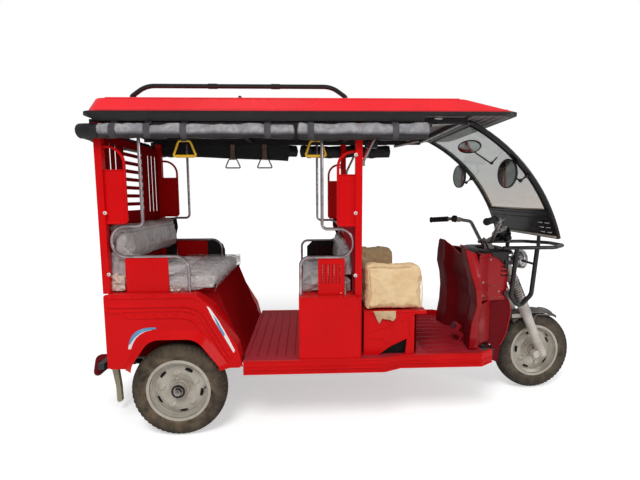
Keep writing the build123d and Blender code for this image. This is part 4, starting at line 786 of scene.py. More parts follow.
yellow = [grip_frame(x, -1, width, 85, 11, 0.9) for x, width in ((57, 122), (697, 114))]
yellow += [tube([at(x - 44, -378, 1401.5), at(x + 44, -378, 1401.5)], 7.5, sides=14) for x in (57, 697)]
grips = add_piece("near_hand_grips", merged(yellow), GRIP_YELLOW)
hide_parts("hand_grips")
add_piece("near_grip_straps", merged([webbing(x, -1, 28, 1474, 1557) for x in (57, 697)]), STRAP_BLACK,
          sharp=25)
add_piece("far_wire_grips", merged([grip_frame(x, 1, 112, 68, 9, 1.0) for x in (154, 369)]), GRIP_WIRE)
add_piece("far_grip_straps", merged([webbing(x, 1, 30, 1456, 1557) for x in (154, 369)]), WEBBING_BROWN,
          sharp=25)

# ---- roof: edges, lining and rack ----------------------------------------------------------

ROOF_SIDE, LIP_Z, SHOULDER_Z, CROWN_Z = 468, 1599, 1658, 1684
ROOF_REAR, ROOF_FRONT = -372, 1678
RACK_Y, RACK_TOP = 318, 1748
crease = []
for side in (-1, 1):
    shoulder = [at(x, side * (ROOF_SIDE - 14), SHOULDER_Z) for x in (ROOF_REAR + 100, ROOF_FRONT - 300)]
    crease.append(tube(shoulder, 3.5, sides=10))
    bead = [at(x, side * (ROOF_SIDE - 1.5), LIP_Z + 6) for x in (ROOF_REAR + 60, ROOF_FRONT - 70)]
    crease.append(tube(bead, 3.5, sides=10))
for step in range(6):
    rib_x = -190 + 262 * step
    crease.append(tube([at(rib_x, -300, CROWN_Z - 1), at(rib_x, 300, CROWN_Z - 1)], 5, sides=10))
add_piece("roof_creases", merged(crease), ROOF_RED)

drip = []
for side in (-1, 1):
    drip.append(tube([at(-340, side * 466, 1588), at(1600, side * 466, 1588)], 5, sides=10))
    drip += [box_shape((-330 + 240 * step, side * 440 - 3, 1560), (-310 + 240 * step, side * 440 + 3, 1590))
             for step in range(7)]
add_piece("roof_edge_strip", merged(drip), LIP_BLACK)

roof_lining = [plate([(-340, -404), (1180, -404), (1180, 404), (-340, 404)],
                     lambda u, v, depth: at(u, v, 1583 + depth), 1.8)]
roof_lining += [tube([at(x, -404, 1583), at(x, 404, 1583)], 6, sides=8) for x in range(-240, 1180, 118)]
add_piece("roof_lining", merged(roof_lining), LINING_BLACK)
nose = [plate([(1452, -440), (1620, -440), (1656, -400), (1656, 400), (1620, 440), (1452, 440)],
              lambda u, v, depth: at(u, v, 1582.6 + depth), 2.4)]
nose += [tube([at(x, -430, 1582), at(x, 430, 1582)], 4, sides=8) for x in (1490, 1530, 1570, 1610)]
nose += [plate([(1200, -436), (1424, -436), (1424, 436), (1200, 436)],
               lambda u, v, depth: at(u, v, 1582.6 + depth), 2.4)]
add_piece("roof_underside_front", merged(nose), LINING_PALE)

struts = []
for side in (-1, 1):
    struts.append(tube([at(1262, side * 404, 1546), at(1418, side * 330, 1574)], 9, sides=12))
    struts.append(tube([at(1270, side * 420, 1578), at(1425, side * 352, 1578)], 8, sides=12))
struts.append(tube([at(1436, -344, 1568), at(1436, 344, 1568)], 9, sides=12))
add_piece("windscreen_struts", merged(struts), SPRING_STEEL)

clips = []
for x in (-206, 850):
    for side in (-1, 1):
        clips.append(turned([(0, 24), (3, 24), (5, 20)], at(x, side * RACK_Y, CROWN_Z - 2), (0, 0, 1),
                            segments=28))
        clips += [turned([(0, 5), (4, 5), (5.5, 3)],
                         at(x + 17 * cos(turn), side * RACK_Y + 17 * sin(turn), CROWN_Z + 2), (0, 0, 1),
                         segments=6)
                  for turn in (0.5, 2.6, 4.7)]
add_piece("rack_feet", merged(clips), GUARD_BLACK)
splices = [tube([at(x - 22, side * RACK_Y, RACK_TOP), at(x + 22, side * RACK_Y, RACK_TOP)], 13, sides=16)
           for x in (190, 500) for side in (-1, 1)]
add_piece("rack_sleeves", merged(splices), GUARD_BLACK)

# ---- cloth at the curtain's corners and behind the far roll --------------------------------

for side, name in ((-1, "right"), (1, "left")):
    end = [at(x, side * y, 1512) for x, y in ((-404, 430), (-380, 438), (-346, 440), (-318, 438))]
    add_piece(f"curtain_corner_flap_{name}", swept(end, ring(33, 20, 1.05)), CURTAIN_BLACK)
valance = [(-400, 1572), (-400, 1530), (-330, 1488), (100, 1466), (470, 1452), (527, 1447), (541, 1522),
           (541, 1572)]
add_piece("far_side_valance", plate(valance, lambda x, z, depth: at(x, 402 + depth, z), 2), CURTAIN_BLACK)

# ---- rear fenders and their pressed lines --------------------------------------------------

SIDE_Y = 437  # outer face of the fenders and box sides


def pressed_line(points, side, radius=3.2, y=SIDE_Y, reach=30):
    """Rounded bead pressed into a side panel, its route given as (x, z) points."""
    return tube([at(x, side * (y - radius * 0.35), z) for x, z in points], radius, reach, sides=10)


def side_sheet(outline, side, y, thickness=0.6):
    """Thin sheet lying on a side panel, its outline given as (x, z) points."""
    return plate(outline, lambda u, v, depth: at(u, side * (y + depth), v), thickness)


def bow(start, middle, end, steps=14):
    """Points (x, z) of a curve that leaves start, heads for middle and ends at end."""
    return [((1 - t) ** 2 * start[0] + 2 * t * (1 - t) * middle[0] + t * t * end[0],
             (1 - t) ** 2 * start[1] + 2 * t * (1 - t) * middle[1] + t * t * end[1])
            for t in [step / steps for step in range(steps + 1)]]


crease_upper = [(-330, 668), (58, 668), (128, 640), (262, 398)]
crease_middle = [(x - 12, z - 22) for x, z in crease_upper]
crease_lower = [(-330, 640), (-262, 640), (-238, 612), (38, 612), (96, 588), (232, 352)]
for side, place in ((-1, "right"), (1, "left")):
    lines = [pressed_line(points, side, radius)
             for points, radius in ((crease_upper, 9.5), (crease_middle, 7.0), (crease_lower, 8.0))]
    for step in range(5):
        x = -208 + 50 * step
        lines.append(pressed_line([(x - 9, 645), (x + 9, 622)], side, 6.0, reach=1))
    lines.append(pressed_line([(-330, 712), (84, 712), (118, 690)], side, 7.0))
    add_piece(f"fender_creases_{place}", merged(lines), BODY_RED, sharp=60)
    swoosh_blue = bow((-238, 474), (-224, 570), (-100, 562)) + bow((-100, 554), (-196, 546), (-228, 482))
    swoosh_white = bow((-242, 452), (-236, 548), (-124, 556)) + bow((-124, 549), (-206, 536), (-228, 454))
    flash_white = [(150, 668), (166, 656), (208, 590), (250, 508), (284, 436), (276, 424), (232, 506),
                   (178, 604)]
    flash_blue = [(182, 618), (196, 600), (236, 520), (230, 510), (206, 552)]
    for shapes, name, material, lift in (
            ([swoosh_white, flash_white], "fender_stripe_white", STRIPE_WHITE, 0.5),
            ([swoosh_blue, flash_blue], "fender_stripe_blue", STRIPE_BLUE, 1.2)):
        sheets = [side_sheet(outline, side, SIDE_Y + lift) for outline in shapes]
        add_piece(f"{name}_{place}", merged(sheets), material)

fender_edge = [(-347, 352), (-347, 727), (90, 727), (176, 655), (294, 452), (318, 350)]
edge = [tube([at(x, side * 434, z) for x, z in fender_edge], 3, 14, sides=10) for side in (-1, 1)]
add_piece("fender_edge_beads", merged(edge), BODY_RED)

# ---- box sides, sills and cabin panels -----------------------------------------------------

sill_line = [(330, 451.5), (1040, 451.5), (1130, 409), (1556, 409)]
box_folds = []
for side in (-1, 1):
    box_folds.append(pressed_line([(610, 384), (610, 699), (915, 699), (915, 384)], side, 2.6, reach=6))
    box_folds.append(pressed_line(bow((690, 610), (760, 640), (838, 604)), side, 1.6, reach=1))
    box_folds += [tube([at(x, side * y, z) for x, y in sill_line], 2.6, sides=8) for z in (332, 356, 378)]
add_piece("box_and_sill_folds", merged(box_folds), BODY_RED)

floor_ribs = [tube([at(340 + 48 * step, -380, 381), at(340 + 48 * step, 380, 381)], 3.6, sides=8)
              for step in range(6)]
floor_ribs += [tube([at(1295, y, 351), at(1520, y, 351)], 3.4, sides=8) for y in range(-315, 316, 70)]
add_piece("floor_ribs", merged(floor_ribs), FLOOR_RED)

# Black plates over the arm panels' slots: painted shade in the openings.
slots = []
for side in (-1, 1):
    for column in range(6):
        for row in range(7):
            x, z = 724 + 18 * column, 768 + 15 * row
            slots.append(plate([(x - 1.8, z - 5), (x + 1.8, z - 5), (x + 1.8, z + 5), (x - 1.8, z + 5)],
                               lambda u, v, depth, side=side: at(u, side * (397.05 + depth), v), 0.3))
add_piece("arm_panel_slot_painted_shade", merged(slots), SLOT_BLACK)

hems = []
for side in (-1, 1):
    for x_low, x_high, z_low, z_high in ((-250, -42, 735, 902), (706, 838, 706, 889)):
        hems.append(tube(closed_route([at(x_low, side * 397, z_low), at(x_high, side * 397, z_low),
                                       at(x_high, side * 397, z_high), at(x_low, side * 397, z_high)], 4),
                         1.8, sides=8, closed=True))
    for x_low, x_high, z_low, z_high in ((-326, -234, 1080, 1334), (812, 890, 1058, 1308)):
        hems.append(tube([at(x_low, side * 396, z_high), at(x_high, side * 396, z_high)], 3.2, sides=8))
add_piece("panel_hems", merged(hems), BODY_RED)

grommets, screws = [], []
for side in (-1, 1):
    for x, z in ((-326, 1128), (-326, 826), (892, 1404), (892, 1120), (892, 806)):
        face = (0, side, 0)
        grommets.append(turned([(0, 9), (3, 9), (5, 6.5), (5.4, 3)], at(x, side * 411, z), face,
                               segments=24))
        screws.append(turned([(5, 3.4), (7.2, 3.2), (8.4, 1.6)], at(x, side * 411, z), face, segments=12))
add_piece("post_grommets", merged(grommets), NYLON_AND_HIGHLIGHT_WHITE)
add_piece("post_screws", merged(screws), SPRING_STEEL)

panel_bolts = []
for side in (-1, 1):
    wall_bolts = [(-300 + 96 * step, 720) for step in range(4)]
    for x, z in wall_bolts + [(628, 392), (900, 392), (628, 690), (900, 690)]:
        panel_bolts.append(turned([(-1, 6), (2.4, 6), (3.4, 4.5)], at(x, side * SIDE_Y, z), (0, side, 0),
                                  segments=6))
    for x in range(360, 1030, 110):
        panel_bolts.append(turned([(-1, 4.5), (1.8, 4.3), (2.6, 2.5)], at(x, side * 450, 369), (0, side, 0),
                                  segments=14))
add_piece("panel_bolts", merged(panel_bolts), BODY_RED)

brace = []
for side in (-1, 1):
    brace.append(tube([at(928, side * 394, 1366), at(1018, side * 394, 1552)], 7, sides=14))
    brace.append(box_shape((908, side * 394 - 8, 1352), (938, side * 394 + 8, 1378)))
add_piece("mid_post_braces", merged(brace), SPRING_STEEL)
relay = add_piece("relay_box", box_shape((950, -386, 1440), (1004, -352, 1480)), TRIM_BLACK)
relay_edges = relay.modifiers.new("edge_round", "BEVEL")
relay_edges.width = 4 * MM
relay_edges.segments = 3
relay_edges.limit_method = "ANGLE"
relay_edges.angle_limit = radians(30)

# ---- driver's bench box: pressed grooves and painted shade in the hollow under it ----------

BENCH_BOX_Y = 393
box_grooves = []
for side in (-1, 1):
    for points in ([(962, 502), (1042, 522), (1092, 544)], [(966, 470), (1030, 470), (1070, 442)],
                   [(1136, 560), (1208, 596)], [(1182, 480), (1182, 590)]):
        box_grooves.append(pressed_line(points, side, 3.4, BENCH_BOX_Y, reach=8))
    box_grooves.append(pressed_line([(1018, 384), (1078, 428), (1168, 470), (1160, 384)], side, 3.6,
                                    BENCH_BOX_Y, reach=10))
    box_grooves.append(pressed_line([(944, 606), (1216, 606)], side, 4.2, BENCH_BOX_Y))
add_piece("bench_box_grooves", merged(box_grooves), BODY_RED, sharp=60)
# Black sheets inside the box sides: painted shade in the hollow.
hollow = [side_sheet([(1014, 381), (1078, 430), (1172, 474), (1164, 381)], side, 372, 1.5)
          for side in (-1, 1)]
add_piece("bench_box_hollow_painted_shade", merged(hollow), SLOT_BLACK)

# ---- seats and their wrapping --------------------------------------------------------------


def reach_of(node):
    """Lowest and highest corners of a node in millimetres from the rear axle and the ground."""
    return [((corner.x - AXLE_X) / MM, corner.y / MM, corner.z / MM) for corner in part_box(node)]


def bake(piece):
    """Gives a piece the mesh that its modifiers make, and takes them off."""
    seen = piece.evaluated_get(bpy.context.evaluated_depsgraph_get())
    mesh = bpy.data.meshes.new_from_object(seen)
    piece.modifiers.clear()
    piece.data = mesh
    mesh.polygons.foreach_set("use_smooth", [True] * len(mesh.polygons))


def places_of(piece):
    """Copies of the piece's points."""
    return [vertex.co.copy() for vertex in piece.data.vertices]


def put(piece, spots):
    """Moves the piece's points to spots."""
    piece.data.vertices.foreach_set("co", [value for spot in spots for value in spot])
    piece.data.update()


def stuffed(name, shape, material, reach, voxel=7):
    """Cushion swollen by air pressure out of a closed shape, each point moving up to reach millimetres."""
    piece = add_piece(name, shape, material, sharp=180)
    blocks = piece.modifiers.new("voxels", "REMESH")
    blocks.mode = "VOXEL"
    blocks.voxel_size = voxel * MM
    bake(piece)
    start = places_of(piece)
    cloth = piece.modifiers.new("air", "CLOTH")
    cloth.settings.use_pressure = True
    cloth.settings.uniform_pressure_force = 4.0
    cloth.settings.effector_weights.gravity = 0
    cloth.settings.quality = 4
    for step in range(1, 17):
        bpy.context.scene.frame_set(step)
    bake(piece)
    bpy.context.scene.frame_set(1)
    put(piece, [home + (spot - home) * min(1.0, reach * MM / max((spot - home).length, 1e-9))
                for spot, home in zip(places_of(piece), start)])
    smooth = piece.modifiers.new("fine", "SUBSURF")
    smooth.levels = smooth.render_levels = 1
    bake(piece)
    return piece


def creased(piece, folds, seams=()):
    """Presses folds and seams into a piece: folds are ((x, y, z) lengths, height, start) and seams are
    (millimetres from the seam as a function of the point, width, depth)."""
    outward = [vertex.normal.copy() for vertex in piece.data.vertices]
    pressed = []
    for home, normal in zip(places_of(piece), outward):
        spot = Vector(((home.x - AXLE_X) / MM, home.y / MM, home.z / MM))
        lift = 0.0
        for lengths, height, start in folds:
            scaled = Vector([along / length for along, length in zip(spot, lengths)])
            wave = noise.noise(scaled + Vector((start, 0, 0)))
            lift += height * max(0.0, 1 - 2.4 * abs(wave)) ** 2 - height * 0.25
        for line, width, depth in seams:
            lift -= depth * 2.7 ** -((line(spot) / width) ** 2)
        pressed.append(home + normal * (lift * MM))
    put(piece, pressed)
    return piece


def side_block(outline, low_y, high_y):
    """Closed block with an (x, z) side outline between two sides."""
    return plate(outline, lambda x, z, depth: at(x, low_y + depth, z), high_y - low_y)


def rounded_outline(corners):
    """Outline through (x, z, radius) corners."""
    outline = []
    for index, (x, z, radius) in enumerate(corners):
        corner = Vector((x, z))
        before = (Vector(corners[index - 1][:2]) - corner).normalized()
        after = (Vector(corners[(index + 1) % len(corners)][:2]) - corner).normalized()
        start, end = corner + before * radius, corner + after * radius
        for step in range(6):
            part = step / 5
            outline.append(tuple(start.lerp(corner, part).lerp(corner.lerp(end, part), part)))
    return outline


low, high = reach_of("rear_seat_cushion")
rear_pad = stuffed("rear_seat_pad", side_block(rounded_outline([
    (low[0] + 8, low[2] + 5, 8), (high[0] - 7, low[2] + 5, 14), (high[0] - 10, high[2] - 12, 34),
    (low[0] + 8, high[2] - 6, 12)]), low[1] + 8, high[1] - 8), SEAT_PALE, 12)
creased(rear_pad, [((150, 60, 90), 4.5, 3.1), ((70, 160, 60), 3.0, 7.7), ((34, 50, 30), 1.6, 1.2)],
        [(lambda spot: spot.y, 4, 9), (lambda spot: spot.y - 247, 4, 7), (lambda spot: spot.y + 247, 4, 7)])
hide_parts("rear_seat_cushion")

low, high = reach_of("rear_seat_back")
back_pad = stuffed("rear_back_pad", side_block(rounded_outline([
    (low[0] + 8, low[2] - 14, 14), (high[0] - 12, low[2] - 10, 40), (high[0] - 34, high[2] - 12, 30),
    (low[0] + 8, high[2] - 10, 14)]), low[1] + 9, high[1] - 9), SEAT_GREY, 13)
creased(back_pad, [((120, 90, 240), 4.5, 9.4), ((60, 60, 150), 3.0, 2.2), ((30, 34, 44), 1.5, 4.0)],
        [(lambda spot: spot.z - 1032, 5, 6), (lambda spot: spot.y - 180, 5, 5),
         (lambda spot: spot.y + 180, 5, 5)])
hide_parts("rear_seat_back")

low, high = reach_of("mid_seat_cushion")
mid_pad = stuffed("mid_seat_pad", side_block(rounded_outline([
    (low[0] + 7, low[2] + 5, 16), (high[0] - 6, low[2] + 5, 8), (high[0] - 6, high[2] - 8, 12),
    (low[0] + 7, high[2] - 8, 30)]), low[1] + 8, high[1] - 8), SEAT_GREY, 11)
creased(mid_pad, [((70, 60, 50), 4.0, 5.3), ((36, 44, 30), 2.2, 1.8)],
        [(lambda spot: spot.z - 776, 4, 4), (lambda spot: spot.y - 120, 4, 6),
         (lambda spot: spot.y + 120, 4, 6)])
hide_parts("mid_seat_cushion")

low, high = reach_of("mid_seat_back")
mid_back_pad = stuffed("mid_back_pad", side_block(rounded_outline([
    (low[0] + 7, low[2] + 8, 14), (high[0] - 5, low[2] + 8, 8), (high[0] - 5, high[2] - 8, 10),
    (low[0] + 20, high[2] - 8, 22)]), low[1] + 9, high[1] - 9), SEAT_GREY, 10)
creased(mid_back_pad, [((70, 80, 110), 3.5, 2.3), ((36, 40, 50), 1.8, 6.6)],
        [(lambda spot: spot.z - 930, 4, 4)])
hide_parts("mid_seat_back")

low, high = reach_of("driver_seat_cushion")
BOLSTER = 90  # width of the raised pad at each end of the driver's bench
bolster_outline = rounded_outline([(low[0] + 10, low[2] + 6, 10), (high[0] - 12, low[2] + 6, 14),
                                   (high[0] - 8, high[2] - 8, 62), (low[0] + 8, high[2] - 8, 16)])
near_end = stuffed("driver_seat_near_end", side_block(bolster_outline, low[1] + 7, low[1] + BOLSTER - 7),
                   KRAFT_WRAP, 9)
creased(near_end, [((90, 60, 70), 4.0, 8.2), ((34, 40, 50), 2.6, 3.1), ((16, 18, 22), 1.1, 5.5)])
far_end = stuffed("driver_seat_far_end", side_block(bolster_outline, high[1] - BOLSTER + 7, high[1] - 7),
                  KRAFT_WRAP, 9)
creased(far_end, [((90, 60, 70), 4.0, 2.7), ((34, 40, 50), 2.6, 6.1), ((16, 18, 22), 1.1, 1.5)])
bench_pad = stuffed("driver_seat_pad", side_block(rounded_outline([
    (low[0] + 12, low[2] + 6, 10), (high[0] - 28, low[2] + 6, 12), (high[0] - 26, low[2] + 108, 26),
    (low[0] + 88, low[2] + 102, 20), (low[0] + 62, high[2] - 22, 16), (low[0] + 12, high[2] - 22, 16)]),
    low[1] + BOLSTER + 6, high[1] - BOLSTER - 6), TAN_WRAP_PAINTED_SHADE, 10)
creased(bench_pad, [((60, 90, 60), 5.0, 4.4), ((30, 36, 30), 3.2, 7.3), ((15, 17, 16), 1.3, 2.5)])
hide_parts("driver_seat_cushion")

# ---- cowl ----------------------------------------------------------------------------------


def between(table, value):
    """Reading of a table of (value, result) pairs at value, straight between its rows."""
    for (low, first), (high, last) in zip(table, table[1:]):
        if value <= high:
            part = max(0.0, (value - low) / (high - low))
            return first + (last - first) * part
    return table[-1][1]


# Legshield in millimetres: by height, the x of its edge, its half width and the depth of its pressing; by
# the share of its half width, its top and how far the middle is pressed forward.
SHIELD_FOOT = 351
SHIELD_EDGE = [(350, 1546), (420, 1550), (500, 1560), (600, 1575), (690, 1566), (770, 1543), (850, 1535),
               (925, 1531)]
SHIELD_HALF = [(350, 272), (420, 273), (500, 264), (600, 292), (690, 292), (770, 282), (850, 246),
               (925, 208)]
SHIELD_TOP = [(0, 850), (0.28, 868), (0.6, 921), (0.94, 923), (1.0, 908)]
SHIELD_RECESS = [(0, 1.0), (0.3, 0.95), (0.42, 0.8), (0.58, 0.2), (0.8, 0.1), (1.0, 0.0)]
SHIELD_DEPTH = [(350, 74), (600, 66), (860, 54), (925, 40)]
FLANGE_FRONT = 1597


def shield_spot(u, v):
    """Point of the legshield's inner face, u from its right edge to its left and v from the floor up."""
    across = 2 * u - 1
    z = SHIELD_FOOT + v * (between(SHIELD_TOP, abs(across)) - SHIELD_FOOT)
    fold = 5 * sin(z / 60) * max(0.0, 1 - abs(abs(across) - 0.7) * 4)
    x = between(SHIELD_EDGE, z) + between(SHIELD_DEPTH, z) * between(SHIELD_RECESS, abs(across)) + fold
    return at(x, across * between(SHIELD_HALF, z), z)


def flange_spot(side):
    """Surface from the legshield's edge forward to its flange's edge, with a lip turned in behind it."""
    steps = [(0, 0), (0.04, 3), (0.5, 5), (0.94, 3), (1.0, -1), (0.97, -9)]

    def spot(u, v):
        edge = shield_spot(0 if side < 0 else 1, v)
        z = edge.z / MM
        part, bulge = steps[round(u * (len(steps) - 1))]
        front = FLANGE_FRONT + 5 * sin(z / 90)
        x = between(SHIELD_EDGE, z) + (front - between(SHIELD_EDGE, z)) * part
        return at(x, side * (between(SHIELD_HALF, z) + bulge), z - 26 * part * v ** 6)
    return spot


def thickened(piece, thickness):
    """Gives a sheet its thickness in millimetres."""
    solid = piece.modifiers.new("sheet_thickness", "SOLIDIFY")
    solid.thickness = thickness * MM
    solid.offset = 0
    return piece


shield = thickened(add_piece("legshield_pressing", grid(shield_spot, 60, 48), MAROON_PAINTED_SHADE, sharp=50), 3)
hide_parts("legshield")
for side, name in ((-1, "right"), (1, "left")):
    thickened(add_piece(f"legshield_flange_{name}", grid(flange_spot(side), 5, 48), COWL_RED, sharp=50), 3)
shield_bead = [shield_spot(step / 60, 1) for step in range(61)]
add_piece("legshield_top_bead", tube(shield_bead, 3.2, sides=8), COWL_RED)
pocket_rows = [(-0.62, 470, 640), (-0.62, 690, 800), (0.62, 470, 640), (0.62, 690, 800)]
pocket_ribs = []
for across, low_z, high_z in pocket_rows:
    tall = between(SHIELD_TOP, abs(across)) - SHIELD_FOOT
    line = [shield_spot((across + 1) / 2, (z - SHIELD_FOOT) / tall) - Vector((2 * MM, 0, 0))
            for z in range(low_z, high_z, 12)]
    pocket_ribs.append(tube(line, 4, sides=8, swell=lambda part: 0.3 + 0.7 * sin(pi * part) ** 0.5))
add_piece("legshield_ribs", merged(pocket_ribs), MAROON_PAINTED_SHADE)
add_piece("toe_plate", box_shape((1548, -262, 350.6), (1612, 262, 353)), FLOOR_RED)

louvres, shadows = [], []
for row in range(3):
    z = 804 - row * 26
    for side in (-1, 1):
        line = [at(1774, side * 156, z), at(1812, side * 147.5, z + 1)]
        louvres.append(swept(line, ring(5, 10, 0.6), up=LEFT))
        line = [spot - Vector((0, 0, 8 * MM)) for spot in line]
        shadows.append(swept(line, ring(4, 8, 0.5), up=LEFT))
add_piece("apron_louvres", merged(louvres), COWL_RED)
add_piece("apron_louvre_shadows", merged(shadows), SLOT_BLACK)
seams = []
for side in (-1, 1):
    for z, radius in ((690, 2.6), (622, 2.2), (858, 2.2)):
        seams.append(tube([at(1612, side * 231, z), at(1690, side * 173.5, z - 2),
                           at(1812, side * 146, z - 4)], radius, 20, sides=8))
add_piece("apron_seams", merged(seams), COWL_RED)
splash_line = [(1784, 322), (1817, 385), (1833, 470), (1842, 535), (1824, 596)]
splash_creases = [tube([at(x, side * 149.5, z) for x, z in splash_line], 4.2, 40, sides=10)
                  for side in (-1, 1)]
add_piece("splash_creases", merged(splash_creases), COWL_RED)
bracket = [(1700, 881), (1712, 860), (1752, 846), (1786, 812), (1796, 786), (1815, 780), (1815, 881)]
for side, name in ((-1, "right"), (1, "left")):
    add_piece(f"headlamp_bracket_{name}",
              plate(bracket, lambda x, z, depth: at(x, side * (175.5 - (x - 1690) * 0.225 + depth), z), 5),
              TRIM_BLACK)
cowl_screws = [(1640, 213, 716), (1640, 213, 640), (1760, 157.5, 650), (1790, 153, 840), (1700, 171, 840)]
add_piece("cowl_screws", merged([
    turned([(-1, 5.5), (2, 5), (3.4, 2.6)], at(x, side * y, z), (0, side, 0), 14)
    for x, y, z in cowl_screws for side in (-1, 1)]), SPRING_STEEL)


def skirt_spot(side):
    """Surface that closes the cowl's side between the flange and the splash panel."""
    def spot(u, v):
        z = 352 + 252 * v
        rear_y = between(SHIELD_HALF, z) - 2
        y = rear_y + (151.5 - rear_y) * u ** 0.8 + 10 * sin(pi * u) * v
        return at(FLANGE_FRONT - 4 + (1722 - FLANGE_FRONT) * u, side * y, z)
    return spot


for side, name in ((-1, "right"), (1, "left")):
    thickened(add_piece(f"cowl_skirt_{name}", grid(skirt_spot(side), 12, 16), COWL_RED, sharp=50), 3)

pedal = [at(1508 + step * 4, -150, 440 + step * 5.4) for step in range(5)]
add_piece("pedal_pad_ribs", merged([
    swept([spot + Vector((-12, y, 2)) * MM for y in (-28, 28)], ring(2, 8)) for spot in pedal]), TRIM_BLACK)

COVER_Z = 878
COVER_HOLE = HEAD - HEAD_AXIS * ((HEAD.z - COVER_Z * MM) / HEAD_AXIS.z)


def cover_spot(u, v):
    """Cover over the cowl: rounded outside, domed, with a round hole for the steering stem."""
    angle = tau * u
    edge_x = 112 if cos(angle) > 0 else 118
    edge_y = 156 + 34 * max(0.0, -cos(angle))
    reach = (abs(cos(angle) / edge_x) ** 4 + abs(sin(angle) / edge_y) ** 4) ** -0.25
    away = 64 + (reach - 64) * min(v, 0.8) / 0.8
    z = COVER_Z + 14 * sin(pi * min(v, 0.8) / 0.8) ** 0.7 if v < 0.8 else COVER_Z - 12 * (v - 0.8) / 0.2
    return Vector((COVER_HOLE.x + away * cos(angle) * MM, away * sin(angle) * MM, z * MM))


thickened(add_piece("cowl_cover", grid(cover_spot, 64, 12, closed=True), TRIM_BLACK), 2)

# ---- windscreen, mirrors and lamps ---------------------------------------------------------


def oval_axes(facing):
    """Unit vectors of an oval: facing, across it and up it."""
    facing = Vector(facing).normalized()
    across = facing.cross(Vector((0, 0, 1))).normalized()
    return facing, across, across.cross(facing)


def ellipse_face(centre, facing, half_wide, half_tall, bulge, back=0.0, rings=5, sides=40):
    """Oval face about centre, domed by bulge towards facing."""
    facing, across, rise = oval_axes(facing)
    points = [centre + facing * ((bulge + back) * MM)]
    for ring_step in range(1, rings + 1):
        part = ring_step / rings
        for k in range(sides):
            points.append(centre + (across * (half_wide * part * cos(tau * k / sides))
                                    + rise * (half_tall * part * sin(tau * k / sides))
                                    + facing * (bulge * (1 - part * part) + back)) * MM)
    faces = [(0, 1 + k, 1 + (k + 1) % sides) for k in range(sides)]
    for ring_step in range(rings - 1):
        start = 1 + ring_step * sides
        faces += [(start + k, start + sides + k, start + sides + (k + 1) % sides, start + (k + 1) % sides)
                  for k in range(sides)]
    return points, faces


def oval_rim(centre, facing, half_wide, half_tall, radius, sides=40):
    """Round bead that follows an oval."""
    facing, across, rise = oval_axes(facing)
    loop = [centre + (across * (half_wide * cos(tau * k / sides))
                      + rise * (half_tall * sin(tau * k / sides))) * MM for k in range(sides)]
    return swept(loop, ring(radius, 10), closed=True, up=facing)


def ball(centre, radius):
    """Ball joint with a short waist on each side."""
    profile = [(radius * cos(pi - pi * step / 10), max(radius * sin(pi * step / 10), radius * 0.35))
               for step in range(11)]
    return turned(profile, centre, (0, 0, 1), 18)


# Middle of each mirror, the way it faces, half its width and half its height
mirror_faces = [(at(1704, -300, 1318), (-cos(radians(36)), -sin(radians(36)), 0), 50, 76),
                (at(1684, 300, 1334), (-cos(radians(26)), -sin(radians(26)), 0), 50, 76),
                (at(1552, -170, 1472), (-0.67, -0.67, -0.32), 64, 36)]
glasses, rims, balls = [], [], []
for centre, facing, wide, tall in mirror_faces:
    facing = Vector(facing).normalized()
    glasses.append(ellipse_face(centre, facing, wide - 4, tall - 4, 2.5, 0.8))
    rims.append(oval_rim(centre + facing * (0.8 * MM), facing, wide - 2.2, tall - 2.2, 3))
    rims.append(oval_rim(centre - facing * (13.5 * MM), facing, wide - 6, tall - 6, 3))
    balls.append(ball(centre - facing * (18 * MM), 11))
add_piece("mirror_glasses", merged(glasses), MIRROR_GLASS)
add_piece("mirror_rims", merged(rims), TRIM_BLACK)
SCREEN_CENTRE = (1057.2, 718.0)
SCREEN_RADIUS = 963


def on_screen(y, z, depth):
    """Point of the windscreen at width y and height z, depth millimetres inside its outer face."""
    angle = atan2(z - SCREEN_CENTRE[1], sqrt(max(0.0, SCREEN_RADIUS ** 2 - (z - SCREEN_CENTRE[1]) ** 2)))
    radius = SCREEN_RADIUS - depth
    return at(SCREEN_CENTRE[0] + radius * cos(angle), y, SCREEN_CENTRE[1] + radius * sin(angle))


for side, z in ((-1, 1318), (1, 1334)):
    balls.append(ball(on_screen(side * 331, z, 20), 12))
    balls.append(ball(on_screen(side * 331, z, 62), 10))
balls.append(ball(on_screen(-170, 1420, 50), 9))
add_piece("mirror_ball_joints", merged(balls), TRIM_BLACK)

gasket = []
for depth in (15, -1):
    up_line = [1128 + 44.5 * step for step in range(11)]
    loop = [on_screen(-316, z, depth) for z in up_line] + [on_screen(316, z, depth) for z in up_line[::-1]]
    gasket.append(swept(loop, ring(4.2, 8), closed=True, up=Vector((0, 1, 0.2))))
add_piece("windscreen_gasket", merged(gasket), GRIP_RUBBER)
edge_beads = [tube([on_screen(side * 344, 980 + 30 * step, 7) for step in range(21)], 8.5, sides=10)
              for side in (-1, 1)]
add_piece("windscreen_edge_tubes", merged(edge_beads), TRIM_BLACK)

# Vents in the screen's lower panel: a black dash of painted shade in each and a pale painted highlight along
# its upper lip.
vent_shades, vent_highlights = [], []
for row in range(3):
    for y in (-286, -226, 226, 286):
        z = 1060 - row * 26
        line = [on_screen(y - 17, z, 15.5), on_screen(y + 17, z, 15.5)]
        vent_highlights.append(swept(line, ring(3.4, 8, 0.7)))
        vent_shades.append(swept([spot + Vector((-1, 0, -6)) * MM for spot in line], ring(3.6, 8, 0.7)))
add_piece("screen_panel_vent_painted_shade", merged(vent_shades), SLOT_BLACK)
add_piece("screen_panel_vent_painted_highlights", merged(vent_highlights), NYLON_AND_HIGHLIGHT_WHITE)
panel_edge = [on_screen(-336 + 67.2 * step, 988, 19) for step in range(11)]
add_piece("screen_panel_trim", tube(panel_edge, 6, sides=10), WHEEL_SILVER)
fold_line = [on_screen(-312 + 62.4 * step, 1112 - 3 * sin(pi * step / 10), 15) for step in range(11)]
